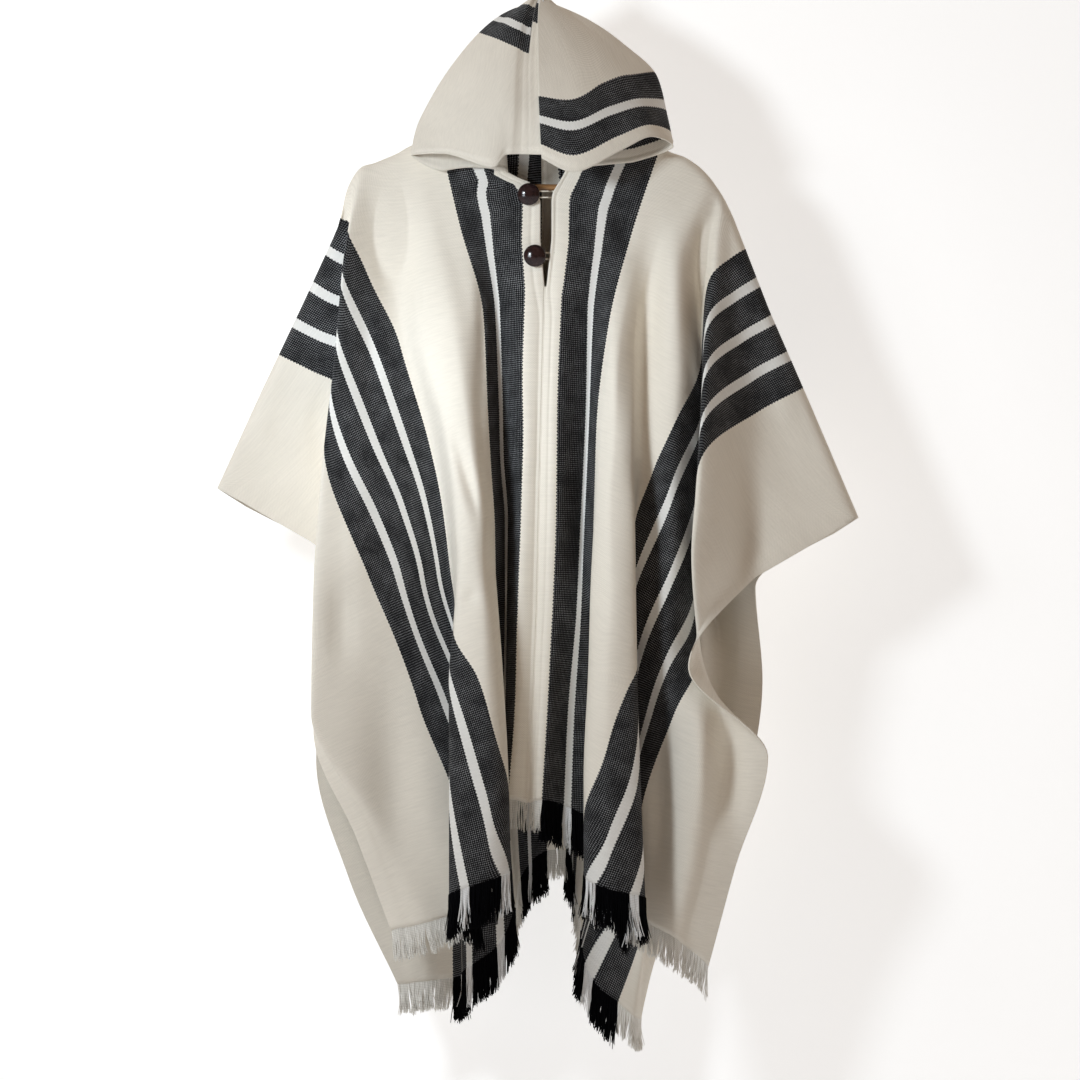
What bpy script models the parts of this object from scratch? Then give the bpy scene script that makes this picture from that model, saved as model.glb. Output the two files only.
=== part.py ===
"""Hooded andean poncho of two loom widths, hung on a wooden coat hanger.

Every place is given in millimetres as ACROSS (to the wearer's left, +X), DROP (below the
inside top of the hook, -Z) and FORWARD or DEPTH (towards the front, -Y, or the back, +Y).
Each half of the poncho is one striped width that runs from the front hem over the
shoulder to the back hem.  It is a sheet drawn through its fold lines: a table has a row
for each level between the shoulder and the hem, and a column for each fold line.
"""
import math

import bmesh
import bpy
import numpy as np

MM = 0.001

# ---- driving sizes, mm ----
WALL = 2.0              # woven alpaca cloth
ROLL = 10.0             # radius of the fold over the shoulders and along the wings
FOLD_ROUND = 0.6        # how softly the folds turn: 0 creased, 1 round
SEAM_GAP = 1.4          # between the two widths where they are sewn
LAP = 3.0               # hood cloth to poncho cloth, middle to middle, along the neck
BACK_SHARE = 0.6        # how deep the back's upper folds are beside the front's
SWELL_START = 0.06      # level where the back's own folds begin
SWELL_RUN = 0.34        # share of the height over which they reach their full depth
FADE_START = 0.62       # level where they begin to fade, to be gone at the hem
LEAN_ROWS = (0.70, 0.93, 1)  # levels where the back's folds begin to lean, lean most, and stop
HOOD_WALL = 1.6
HOOD_GAP = 1.3          # between the hood's halves along the crown and the back
FRINGE_LENGTH = 51.0
FRINGE_ROOT = 3.5       # height of the strip that holds the locks
FRINGE_THICK = 1.6
FRINGE_GAP = 0.8
FRINGE_END = 2.5        # kept clear at both ends of a strip
LOCKS = 36              # along each quarter of the hem
LOCK_RAGGED = 4.0       # how much the locks differ in length, up and down
LOCK_LEAN = 1.6         # how far a lock's tip leans along the hem
LOCK_TIP = 0.55         # a tip's size beside its root's
BUTTON_WIDTH = 29.0
BUTTON_THICK = 9.0
SHANK_WIDTH = 5.0
CORD = 2.2
ARM_THICK = 12.0
ARM_HEIGHT = 22.0
ARM_SECTIONS = 22
ARM_SWELL = 30.0        # from an arm's end to its full height
ARM_TIP = 12.0          # from an arm's end to its full thickness
BAR_WIDTH = 9.0
BAR_DROP = 309.0
WIRE = 4.0
CROOK_RADIUS = 22.0
CROOK_START = -74.0     # degrees from level where the crook's round begins
CROOK_TURN = 13.7       # degrees between its points

# ---- the fold lines, from the centre seam out to the wing's edge ----
FOLDS = ("seam", "strip", "valley_in", "wall", "limb_in", "crest", "limb_out",
         "valley_mid", "slope", "ridge", "valley_out", "wing", "edge")

# ---- left width: levels are shares of the way from the shoulder to the hem ----
LEFT_LEVELS = (0, 0.12, 0.25, 0.38, 0.46, 0.55, 0.72, 0.87, 1)
LEFT_CORNER = 0.38      # the level where the folded wing ends and the selvages part
LEFT_TOP_DROP = (224, 228, 237, 246, 250, 255, 265, 272, 278, 283, 300, 322, 348)
LEFT_HEM_DROP = (1108, 1105, 1152, 1173, 1193, 1209, 1226, 1242, 1254, 1264, 1269, 1271, 1274)
LEFT_ACROSS = (
    (-47, -61, -96, -130, -147, -168, -186, -202, -217, -233, -246, -254, -257),
    (0, -23, -70, -104, -122, -143, -173, -200, -228, -255, -248, -273, -308),
    (5, -20, -56, -74, -91, -116, -150, -178, -216, -266, -255, -303, -365),
    (3, -22, -51, -69, -79, -96, -120, -144, -202, -280, -265, -330, -420),
    (0, -22, -49, -65, -72, -86, -110, -130, -192, -286, -273, -280, -290),
    (-1, -23, -43, -60, -64, -78, -105, -120, -177, -290, -280, -270, -277),
    (-5, -29, -47, -62, -51, -72, -118, -107, -176, -292, -290, -291, -294),
    (-12, -34, -56, -74, -43, -65, -118, -90, -150, -202, -221, -231, -239),
    (-16, -42, -66, -86, -40, -74, -118, -81, -118, -151, -172, -185, -194),
)
LEFT_FORWARD = (
    (0, 0, 0, 0, 0, 0, 0, 0, 0, 0, 0, 0, 0),
    (6, 7, 6, 8, 10, 13, 11, 8, 14, 32, 6, 3, 0),
    (20, 23, 5, 36, 48, 60, 56, 36, 42, 64, 12, 4, 0),
    (30, 34, 4, 46, 62, 84, 80, 38, 58, 92, 16, 5, 0),
    (34, 39, 3, 50, 68, 96, 92, 42, 64, 100, 24, 10, 0),
    (38, 43, 3, 54, 74, 108, 104, 46, 70, 106, 56, 28, 6),
    (44, 50, 3, 42, 88, 124, 106, 50, 66, 86, 72, 64, 54),
    (48, 53, 5, 38, 92, 128, 112, 48, 50, 58, 50, 42, 34),
    (52, 56, 14, 8, 98, 132, 112, 42, 40, 48, 42, 34, 24),
)
LEFT_BACK_HEM_ACROSS = (21, 9, -13, -30, -36, -56, -98, -104, -131, -150, -164, -177, -187)
LEFT_BACK_HEM_DROP = (1170, 1172, 1188, 1216, 1252, 1295, 1327, 1336, 1340, 1343, 1344, 1346, 1346)
LEFT_BACK_HEM_DEPTH = (38, 40, 56, 46, 20, 16, 30, 58, 62, 56, 52, 50, 48)
# How far the back's own folds stand out behind that, below the shoulder.
LEFT_BACK_FOLDS = (0, 0, 18, 6, 0, 0, 27, 0, 34, 2, 30, 4, 0)
# The back selvage, as (level, across, drop).
LEFT_BACK_SELVAGE = ((0.46, -290, 770), (0.55, -280, 878), (0.72, -293, 1054), (0.87, -250, 1209),
                     (1, -187, 1346))
LEFT_BACK_LEAN = 0.0
# The neck edge, as (drop, across): down the front to the slit, then round the back.
LEFT_NECK_FRONT = ((224, -47), (290, -42), (294, -34), (303, -12), (325, 0), (377, 0), (436, 5))
LEFT_NECK_BACK = ((224, -47), (232, -33), (243, -15), (254, 0))

# ---- right width ----
RIGHT_LEVELS = (0, 0.12, 0.25, 0.40, 0.48, 0.60, 0.72, 0.87, 1)
RIGHT_CORNER = 0.40
RIGHT_TOP_DROP = (226, 231, 244, 257, 264, 270, 278, 285, 298, 312, 325, 337, 350)
RIGHT_HEM_DROP = (1108, 1104, 1113, 1150, 1199, 1218, 1230, 1242, 1262, 1280, 1294, 1306, 1320)
RIGHT_ACROSS = (
    (61, 77, 116, 153, 169, 186, 199, 208, 220, 230, 238, 244, 250),
    (13, 36, 77, 117, 126, 134, 142, 152, 179, 208, 221, 252, 295),
    (6, 27, 64, 88, 94, 104, 118, 135, 178, 209, 213, 278, 350),
    (3, 22, 61, 72, 81, 96, 116, 133, 170, 209, 203, 298, 412),
    (1, 21, 58, 70, 74, 91, 120, 121, 170, 207, 196, 252, 278),
    (-3, 18, 52, 68, 66, 92, 122, 113, 164, 202, 205, 198, 191),
    (-5, 14, 47, 74, 62, 87, 124, 113, 160, 203, 238, 269, 294),
    (-12, 6, 36, 88, 56, 87, 129, 108, 142, 194, 217, 235, 251),
    (-16, 0, 32, 90, 56, 88, 134, 105, 135, 170, 187, 203, 217),
)
RIGHT_FORWARD = (
    (0, 0, 0, 0, 0, 0, 0, 0, 0, 0, 0, 0, 0),
    (6, 7, 8, 10, 12, 13, 14, 15, 26, 5, 28, 8, 0),
    (20, 24, 10, 28, 38, 44, 40, 24, 42, 10, 66, 8, 0),
    (30, 34, 6, 34, 54, 70, 64, 26, 48, 10, 92, 14, 0),
    (34, 39, 4, 38, 62, 86, 78, 28, 52, 12, 100, 40, 24),
    (40, 46, 4, 42, 72, 108, 94, 32, 58, 16, 60, 78, 94),
    (44, 50, 22, 14, 84, 116, 98, 30, 52, 74, 52, 56, 62),
    (48, 53, 18, 10, 94, 126, 104, 32, 42, 70, 54, 48, 42),
    (52, 58, 20, 12, 98, 132, 108, 36, 44, 60, 48, 42, 36),
)
RIGHT_BACK_HEM_ACROSS = (21, 31, 42, 52, 56, 72, 99, 118, 125, 127, 129, 130, 130)
RIGHT_BACK_HEM_DROP = (1170, 1172, 1200, 1262, 1310, 1346, 1369, 1386, 1391, 1392, 1392, 1391, 1388)
RIGHT_BACK_HEM_DEPTH = (38, 40, 54, 44, 20, 14, 28, 36, 48, 58, 66, 74, 80)
RIGHT_BACK_FOLDS = (0, 0, 22, 4, 0, 0, 36, 4, 34, 0, 30, 6, 0)
RIGHT_BACK_SELVAGE = ((0.44, 300, 797), (0.48, 279, 828), (0.60, 289, 949), (0.72, 274, 1066),
                      (0.87, 188, 1235), (0.94, 150, 1310), (1, 130, 1388))
RIGHT_BACK_LEAN = 20.0     # how far the back's folds lean outward above the hem, at most
RIGHT_NECK_FRONT = ((226, 61), (295, 27), (316, 14), (325, 13), (377, 13), (434, 7))
RIGHT_NECK_BACK = ((226, 61), (234, 41), (245, 19), (254, 1))

# ---- the seams that both widths share, as (drop, across, forward or depth) ----
FRONT_SEAM = ((446, 5, 20), (562, 2, 30), (632, 0, 34), (711, -2, 38), (861, -5, 44),
              (993, -11, 48), (1108, -16, 52))
BACK_SEAM = ((266, 1, 8), (450, 3, 14), (700, 8, 22), (950, 15, 32), (1170, 21, 38))

# ---- rows and columns of the sheets ----
ROWS_ABOVE_CORNER = (0, 0.003, 0.014, 0.045, 0.076, 0.091, 0.115, 0.17, 0.26)
ROWS_BELOW_CORNER = (0.12, 0.24, 0.33, 0.41, 0.52, 0.64, 0.77, 0.89, 1)
COLUMNS = tuple(step / 2 for step in range(24)) + (11.9, 11.97, 12)
NECK_CORNER_ROW = 0.076  # where the neck edge turns down into the slit
NAPE_ROW = 0.045         # where it reaches the centre of the back
LAST_ROW_ABOVE = 0.2     # rows past this are spaced for a corner at LEFT_CORNER

# ---- hood: rows from the face edge to the back seam, columns round one half ----
HOOD_ROUND = ("neck", "behind", "outline", "front_low", "front_mid", "front_high", "crown")
HOOD_ROWS = (0, 0.25, 0.5, 0.75, 0.9, 1)
HOOD_LEFT_ACROSS = (
    (-42, -126, -169, -127, -64, -43, 0),
    (-45, -112, -162, -116, -70, -40, -3),
    (-47, -100, -142, -105, -69, -38, -5),
    (-33, -73, -101, -77, -53, -30, -5),
    (-15, -34, -51, -38, -27, -17, -4),
    (-1, -1, -2, -4, -5, -5, -5),
)
HOOD_LEFT_DROP = (
    (288, 288, 268, 266, 285, 268, 268),
    (258, 234, 234, 231, 226, 214, 211),
    (222, 205, 192, 182, 172, 161, 156),
    (232, 180, 133, 122, 114, 108, 104),
    (243, 172, 88, 81, 75, 72, 70),
    (252, 176, 73, 62, 57, 56, 57),
)
HOOD_LEFT_DEPTH = (
    (-16, -26, -34, -70, -92, -88, -96),
    (-15, -28, -16, -62, -84, -90, -92),
    (0, 14, -4, -48, -68, -76, -78),
    (12, 30, 6, -26, -42, -50, -52),
    (16, 36, 8, -8, -18, -24, -26),
    (20, 38, 14, 8, 3, -2, -8),
)
HOOD_RIGHT_ACROSS = (
    (27, 118, 172, 144, 103, 44, 0),
    (45, 122, 164, 135, 92, 44, -3),
    (61, 113, 151, 116, 77, 38, -5),
    (41, 77, 103, 77, 48, 22, -5),
    (19, 40, 51, 35, 22, 9, -3),
    (1, 1, 2, 4, 5, 5, 5),
)
HOOD_RIGHT_DROP = (
    (292, 277, 257, 244, 263, 291, 273),
    (258, 238, 218, 211, 218, 224, 211),
    (224, 202, 166, 169, 169, 166, 156),
    (234, 178, 120, 117, 113, 109, 104),
    (245, 172, 88, 83, 77, 73, 70),
    (252, 176, 73, 62, 57, 56, 57),
)
HOOD_RIGHT_DEPTH = (
    (-16, -28, -34, -66, -84, -98, -96),
    (-15, -28, -16, -60, -82, -94, -92),
    (0, 14, -4, -46, -66, -76, -78),
    (12, 30, 6, -26, -42, -50, -52),
    (16, 36, 8, -8, -18, -24, -26),
    (20, 38, 14, 8, 3, -2, -8),
)
HOOD_MESH_ROWS = (0, 0.08, 0.17, 0.27, 0.36, 0.43, 0.47, 0.5, 0.53, 0.57, 0.63, 0.72, 0.81, 0.9,
                  0.96, 1)
HOOD_MESH_STEPS = 15
NECK_STOPS = 41          # points along the neck edge that the hood follows

# ---- fastenings, as (name, across, drop) ----
BUTTONS = (("top", -16, 318), ("bottom", -8, 398))
LOOP_ROOT_ACROSS = 19
BUTTON_CLEARANCE = 3.4   # cloth to the back of the disc, room for the loop

# ---- hanger ----
ARM_TOP = ((-238, 297), (-220, 282), (-186, 269), (-130, 249), (-47, 228), (0, 220), (61, 229),
           (116, 248), (169, 268), (195, 281), (210, 293), (219, 304))
ARM_END_HEIGHT = 13.0
CROOK_DROP = CROOK_RADIUS - WIRE / 2

# ---- colours ----
CREAM = (0.70, 0.63, 0.50)
CHARCOAL = (0.035, 0.035, 0.04)
BEECH = (0.42, 0.22, 0.10)
STEEL = (0.55, 0.55, 0.56)
BUTTON_BROWN = (0.035, 0.016, 0.02)


# ---- curves through hand-set points ----
def smooth(knots, values, places, rounded=0.0):
    """Monotone cubic through values at knots (first axis), read at places.

    The slope at a knot is the harmonic mean of the slopes on its two sides, or nothing
    where they disagree, so the curve never swings past the points it goes through.  A
    rounded share of their plain mean is mixed in, so that a fold turns in a soft bend.
    """
    knots = np.asarray(knots, float)
    values = np.asarray(values, float)
    places = np.asarray(places, float)
    shape = (-1,) + (1,) * (values.ndim - 1)
    step = np.diff(knots).reshape(shape)
    rise = np.diff(values, axis=0) / step
    slope = np.zeros_like(values)
    before = rise[:-1]
    after = rise[1:]
    agree = before * after > 0
    total = np.where(agree, before + after, 1)
    steady = np.where(agree, 2 * before * after / total, 0)
    slope[1:-1] = (1 - rounded) * steady + rounded * (before + after) / 2
    slope[0] = rise[0]
    slope[-1] = rise[-1]
    at = np.clip(np.searchsorted(knots, places, side="right") - 1, 0, len(knots) - 2)
    share = ((places - knots[at]) / np.diff(knots)[at]).reshape(shape)
    width = step[at]
    near = (1 + 2 * share) * (1 - share) ** 2
    near_slope = share * (1 - share) ** 2
    far = share ** 2 * (3 - 2 * share)
    far_slope = share ** 2 * (share - 1)
    return (near * values[at] + near_slope * width * slope[at]
            + far * values[at + 1] + far_slope * width * slope[at + 1])


def fill(levels, table, rows, columns):
    """A table of fold lines, read at every row and column of a sheet."""
    down = smooth(levels, table, rows)
    return smooth(range(len(FOLDS)), down.T, columns, FOLD_ROUND).T


def pointed(levels, table, rows, columns, corner):
    """Fold lines across, with the outer edge straight to the wing's corner and back from it."""
    across = fill(levels, table, rows, columns)
    turned = rows < levels[levels.index(corner) + 1]
    miss = (np.interp(rows, levels, table[:, -1]) - across[:, -1]) * turned
    return across + miss[:, None] * np.clip(columns - 11, 0, 1)


def along(pairs, places):
    """A line of (place, value) pairs, read at places; straight between the pairs."""
    pairs = np.asarray(pairs, float)
    return np.interp(places, pairs[:, 0], pairs[:, 1])


def from_boundary(across, drop, line):
    """How far each point lies from a line of points, seen from the front."""
    near = np.full(across.shape, 1e9)
    for (x0, z0), (x1, z1) in zip(line[:-1], line[1:]):
        run = max((x1 - x0) ** 2 + (z1 - z0) ** 2, 1e-9)
        share = np.clip(((across - x0) * (x1 - x0) + (drop - z0) * (z1 - z0)) / run, 0, 1)
        away = np.hypot(across - x0 - share * (x1 - x0), drop - z0 - share * (z1 - z0))
        near = np.minimum(near, away)
    return near


def rolled(away):
    """Half the thickness of the folded cloth at a distance from the fold: a quarter round."""
    left = 1 - np.minimum(away / ROLL, 1)
    return ROLL * np.sqrt(1 - left ** 2)


# ---- one width of the poncho ----
def width_rows(corner):
    above = [row * corner / LEFT_CORNER if row > LAST_ROW_ABOVE else row
             for row in ROWS_ABOVE_CORNER]
    below = [corner + row * (1 - corner) for row in ROWS_BELOW_CORNER]
    return np.array(above + [corner] + below)


def pull_edge(grid, edge):
    """Set the seam column to an edge, and let the next columns follow it less and less."""
    follow = np.clip((3 - np.array(COLUMNS)) / 2, 0, 1)
    return grid + (edge - grid[:, 0])[:, None] * follow


def width_sheets(side):
    """Front and back grids of one width, as (across, drop, depth) arrays."""
    left = side == "left"
    levels = LEFT_LEVELS if left else RIGHT_LEVELS
    corner = LEFT_CORNER if left else RIGHT_CORNER
    top = np.array(LEFT_TOP_DROP if left else RIGHT_TOP_DROP, float)
    hem = np.array(LEFT_HEM_DROP if left else RIGHT_HEM_DROP, float)
    table = np.array(LEFT_ACROSS if left else RIGHT_ACROSS, float)
    forward = LEFT_FORWARD if left else RIGHT_FORWARD
    back_across = np.array(LEFT_BACK_HEM_ACROSS if left else RIGHT_BACK_HEM_ACROSS, float)
    back_drop = np.array(LEFT_BACK_HEM_DROP if left else RIGHT_BACK_HEM_DROP, float)
    back_depth = np.array(LEFT_BACK_HEM_DEPTH if left else RIGHT_BACK_HEM_DEPTH, float)
    back_folds = np.array(LEFT_BACK_FOLDS if left else RIGHT_BACK_FOLDS, float)
    selvage = np.array(LEFT_BACK_SELVAGE if left else RIGHT_BACK_SELVAGE)
    neck_front = LEFT_NECK_FRONT if left else RIGHT_NECK_FRONT
    neck_back = LEFT_NECK_BACK if left else RIGHT_NECK_BACK
    inward = 1 if left else -1
    rows = width_rows(corner)
    columns = np.array(COLUMNS)
    folds = range(len(FOLDS))
    share = rows[:, None]

    def spread(values):
        return smooth(folds, values, columns, FOLD_ROUND)[None, :]

    def edged(grid, grid_drop, neck, seam, item):
        line = np.array([(row[0], row[item]) for row in seam], float)
        if item == 1:
            line = np.vstack([np.array(neck, float), line])
            line = line[np.argsort(line[:, 0])]
        target = along(line, grid_drop[:, 0])
        if item == 1:
            target = target - inward * SEAM_GAP / 2
            return pull_edge(grid, target)
        target = np.where(grid_drop[:, 0] < line[0, 0], grid[:, 0], target)
        return pull_edge(grid, target)

    front_drop = spread(top) + share * (spread(hem) - spread(top))
    across = pointed(levels, table, rows, columns, corner)
    front_across = edged(across, front_drop, neck_front, FRONT_SEAM, 1)
    ahead = np.maximum(fill(levels, forward, rows, columns), 0)
    front_forward = edged(ahead, front_drop, neck_front, FRONT_SEAM, 2)

    # The back leaves out the front's doubled folds and falls freely to its own hem.
    late = np.clip((rows - corner) / (1 - corner), 0, 1)[:, None]
    plain = table * inward
    for column in range(1, len(FOLDS)):
        plain[:, column] = np.minimum(plain[:, column], plain[:, column - 1] - 3)
    plain = fill(levels, plain * inward, rows, columns)
    plain[:, -3:] = np.where(late > 0, plain[:, -3:], across[:, -3:])
    rear_drop = front_drop + late * (spread(back_drop) - spread(hem))
    rear_across = (1 - late) * plain + late * spread(back_across)
    lean = (LEFT_BACK_LEAN if left else RIGHT_BACK_LEAN) * np.interp(rows, LEAN_ROWS, (0, 1, 0))
    rear_across = rear_across + lean[:, None] * np.interp(columns, (2, 4, 6, 9), (0, 1, 1, 0))
    rear_depth = BACK_SHARE * ahead * (1 - late) + late * spread(back_depth)
    swell = np.clip((rows - SWELL_START) / SWELL_RUN, 0, 1)
    fade = np.clip((1 - rows) / (1 - FADE_START), 0, 1)
    swell = swell ** 2 * (3 - 2 * swell) * fade ** 2 * (3 - 2 * fade)
    rear_depth = rear_depth + swell[:, None] * spread(back_folds)
    free = rows > corner
    follow = np.clip((columns - 8) / 4, 0, 1)
    slack_across = np.interp(rows, selvage[:, 0], selvage[:, 1]) - rear_across[:, -1]
    slack_drop = np.interp(rows, selvage[:, 0], selvage[:, 2]) - rear_drop[:, -1]
    rear_across = rear_across + (slack_across * free)[:, None] * follow
    rear_drop = rear_drop + (slack_drop * free)[:, None] * follow
    rear_across = edged(rear_across, rear_drop, neck_back, BACK_SEAM, 1)
    rear_depth = edged(rear_depth, rear_drop, neck_back, BACK_SEAM, 2)

    fold_rows = rows <= corner + 1e-9
    line = list(zip(front_across[0], front_drop[0]))
    line += list(zip(front_across[fold_rows, -1], front_drop[fold_rows, -1]))
    front_roll = rolled(from_boundary(front_across, front_drop, line))
    rear_roll = rolled(from_boundary(rear_across, rear_drop, line))
    front = (front_across, front_drop, -(front_roll + front_forward))
    rear = (rear_across, rear_drop, rear_roll + rear_depth)
    return front, rear, int(fold_rows.sum())


def point(across, drop, depth):
    return (across * MM, depth * MM, -drop * MM)


def width_mesh(side):
    """Front and back sheets of one width, joined over the shoulder and along the wing."""
    front, rear, fold_rows = width_sheets(side)
    mesh = bmesh.new()
    sheets = []
    for sheet in (front, rear):
        grid = []
        for row in range(sheet[0].shape[0]):
            line = []
            for column in range(sheet[0].shape[1]):
                wing = column == sheet[0].shape[1] - 1 and row < fold_rows
                if sheets and (row == 0 or wing):
                    line.append(sheets[0][row][column])
                else:
                    place = [part[row, column] for part in sheet]
                    line.append(mesh.verts.new(point(*place)))
            grid.append(line)
        sheets.append(grid)
    for number, grid in enumerate(sheets):
        for upper, lower in zip(grid[:-1], grid[1:]):
            for column in range(len(upper) - 1):
                corners = [upper[column], upper[column + 1], lower[column + 1], lower[column]]
                if (number == 0) == (side == "left"):
                    corners.reverse()
                mesh.faces.new(list(dict.fromkeys(corners)))
    return mesh


# ---- objects and materials ----
def material(name, colour, roughness, metallic=0.0):
    made = bpy.data.materials.new(name)
    made.use_nodes = True
    shader = made.node_tree.nodes["Principled BSDF"]
    shader.inputs["Base Color"].default_value = (*colour, 1)
    shader.inputs["Roughness"].default_value = roughness
    shader.inputs["Metallic"].default_value = metallic
    made.diffuse_color = (*colour, 1)
    return made


def finish(name, mesh, look, wall=0.0):
    """Turn a bmesh into a smooth-shaded object; a wall gives an open sheet its thickness."""
    for face in mesh.faces:
        face.smooth = True
    data = bpy.data.meshes.new(name)
    mesh.to_mesh(data)
    mesh.free()
    data.materials.append(look)
    made = bpy.data.objects.new(name, data)
    bpy.context.scene.collection.objects.link(made)
    if wall:
        solid = made.modifiers.new("wall", "SOLIDIFY")
        solid.thickness = wall * MM
        solid.offset = 0
        solid.use_rim = True
    return made


def skin(rings, closed_ends=True):
    """Join rings of the same number of points into one closed body."""
    mesh = bmesh.new()
    loops = [[mesh.verts.new(place) for place in ring] for ring in rings]
    for first, second in zip(loops[:-1], loops[1:]):
        for index in range(len(first)):
            after = (index + 1) % len(first)
            mesh.faces.new((first[index], first[after], second[after], second[index]))
    if closed_ends:
        mesh.faces.new(loops[0][::-1])
        mesh.faces.new(loops[-1])
    bmesh.ops.recalc_face_normals(mesh, faces=mesh.faces)
    return mesh


def tube(path, radius, sides):
    """A round wire or cord along a path that never runs straight fore and aft."""
    path = np.array(path, float)
    heading = np.gradient(path, axis=0)
    heading /= np.linalg.norm(heading, axis=1)[:, None]
    rings = []
    for place, ahead in zip(path, heading):
        across = np.cross(ahead, (0.0, 1.0, 0.0))
        across /= np.linalg.norm(across)
        fore = np.cross(across, ahead)
        turns = [2 * math.pi * side / sides for side in range(sides)]
        rings.append([tuple((place + radius * (math.cos(turn) * across + math.sin(turn) * fore)) * MM)
                      for turn in turns])
    return skin(rings)


# ---- hood ----
def neck_line(side):
    """The neck edge from the front corner over the shoulder to the nape, moved out by LAP."""
    front, rear, _ = width_sheets(side)
    corner = ROWS_ABOVE_CORNER.index(NECK_CORNER_ROW)
    nape = ROWS_ABOVE_CORNER.index(NAPE_ROW)
    line = [[part[row, 0] for part in front] for row in range(corner, -1, -1)]
    line += [[part[row, 0] for part in rear] for row in range(1, nape + 1)]
    line = np.array(line)
    up = np.clip(ROLL - (line[:, 1] - line[:, 1].min()), 0, ROLL)
    away = np.hypot(up, line[:, 2])
    line[:, 1] -= LAP * up / away
    line[:, 2] += LAP * line[:, 2] / away
    length = np.concatenate([[0], np.cumsum(np.linalg.norm(np.diff(line, axis=0), axis=1))])
    behind = (length - length[corner]) / (length[-1] - length[corner])
    share = np.where(np.arange(len(line)) <= corner, 0.5 * length / length[corner],
                     0.5 + 0.5 * behind)
    stops = np.linspace(0, 1, NECK_STOPS)
    return np.array([np.interp(stops, share, line[:, axis]) for axis in range(3)]).T


def hood_half(side):
    """One half of the hood, from the neck seam round its outside to the crown."""
    left = side == "left"
    knots = range(len(HOOD_ROUND))
    steps = np.linspace(0, len(HOOD_ROUND) - 1, HOOD_MESH_STEPS + 1)
    nets = []
    for table in ((HOOD_LEFT_ACROSS, HOOD_LEFT_DROP, HOOD_LEFT_DEPTH) if left
                  else (HOOD_RIGHT_ACROSS, HOOD_RIGHT_DROP, HOOD_RIGHT_DEPTH)):
        rows = smooth(HOOD_ROWS, table, HOOD_MESH_ROWS)
        nets.append(smooth(knots, rows.T, steps).T)
    nets[0][:, -1] += -HOOD_GAP / 2 if left else HOOD_GAP / 2
    neck = neck_line(side)
    follow = np.clip(1 - steps, 0, 1)
    for net, line in zip(nets, neck.T):
        shift = np.interp(HOOD_MESH_ROWS, np.linspace(0, 1, len(line)), line) - net[:, 0]
        net += shift[:, None] * follow
    mesh = bmesh.new()
    grid = [[mesh.verts.new(point(nets[0][row, column], nets[1][row, column], nets[2][row, column]))
             for column in range(len(steps))] for row in range(len(HOOD_MESH_ROWS))]
    for upper, lower in zip(grid[:-1], grid[1:]):
        for column in range(len(steps) - 1):
            corners = [upper[column], upper[column + 1], lower[column + 1], lower[column]]
            if left:
                corners.reverse()
            mesh.faces.new(corners)
    return mesh


# ---- fringe ----
def unit(arrows):
    return arrows / np.maximum(np.linalg.norm(arrows, axis=1), 1e-9)[:, None]


def fringe(side, place):
    """Locks of warp ends below one quarter of the hem, rooted in a narrow strip."""
    front, rear, _ = width_sheets(side)
    sheet = front if place == "front" else rear
    main = [index for index, column in enumerate(COLUMNS) if column * 2 == round(column * 2)]
    line, above = [np.array([(sheet[0][row, index], sheet[2][row, index], -sheet[1][row, index])
                             for index in main]) for row in (-1, -2)]
    length = np.concatenate([[0], np.cumsum(np.linalg.norm(np.diff(line, axis=0), axis=1))])
    stops = [FRINGE_END]
    for start, stop in zip(length[:-1], length[1:]):
        parts = max(1, round((stop - start) / length[-1] * 2 * LOCKS))
        stops += list(np.linspace(start, stop, parts + 1)[1:])
    stops[-1] -= FRINGE_END
    line, above = [np.array([np.interp(stops, length, edge[:, axis]) for axis in range(3)]).T
                   for edge in (line, above)]
    ahead = unit(np.gradient(line, axis=0))
    down = line - above
    down = unit(down - (down * ahead).sum(axis=1)[:, None] * ahead)
    line += FRINGE_GAP * down
    out = np.cross(ahead, down) * FRINGE_THICK / 2
    mesh = bmesh.new()
    rings = []
    for centre, half, low in zip(line, out, line + FRINGE_ROOT * down):
        corners = (centre + half, centre - half, low - half, low + half)
        rings.append([mesh.verts.new(tuple(corner * MM)) for corner in corners])
    mesh.faces.new(rings[0][::-1])
    mesh.faces.new(rings[-1])
    for number, (first, second) in enumerate(zip(rings[:-1], rings[1:])):
        for index in (0, 1, 3):
            after = (index + 1) % 4
            mesh.faces.new((first[index], first[after], second[after], second[index]))
        under = (first[2], first[3], second[3], second[2])
        if number % 2:
            mesh.faces.new(under)
            continue
        lock(mesh, under, number, ahead[number], down[number])
    return mesh


def lock(mesh, root, number, ahead, down):
    """One lock below a face of the strip: it narrows, and leans a little like its kind."""
    fall = unit(0.25 * down[None, :] + (0, 0, -1))[0]
    long = FRINGE_LENGTH - FRINGE_ROOT - LOCK_RAGGED * (1 + math.sin(number * 1.7))
    lean = LOCK_LEAN * math.sin(number * 2.3)
    middle = sum((corner.co for corner in root), start=root[0].co * 0) / 4
    tips = []
    for corner in root:
        place = middle + (corner.co - middle) * LOCK_TIP
        tips.append(mesh.verts.new([at + (lean * side + long * low) * MM
                                    for at, side, low in zip(place, ahead, fall)]))
    for index in range(4):
        after = (index + 1) % 4
        mesh.faces.new((root[index], root[after], tips[after], tips[index]))
    mesh.faces.new(tips)


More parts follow.
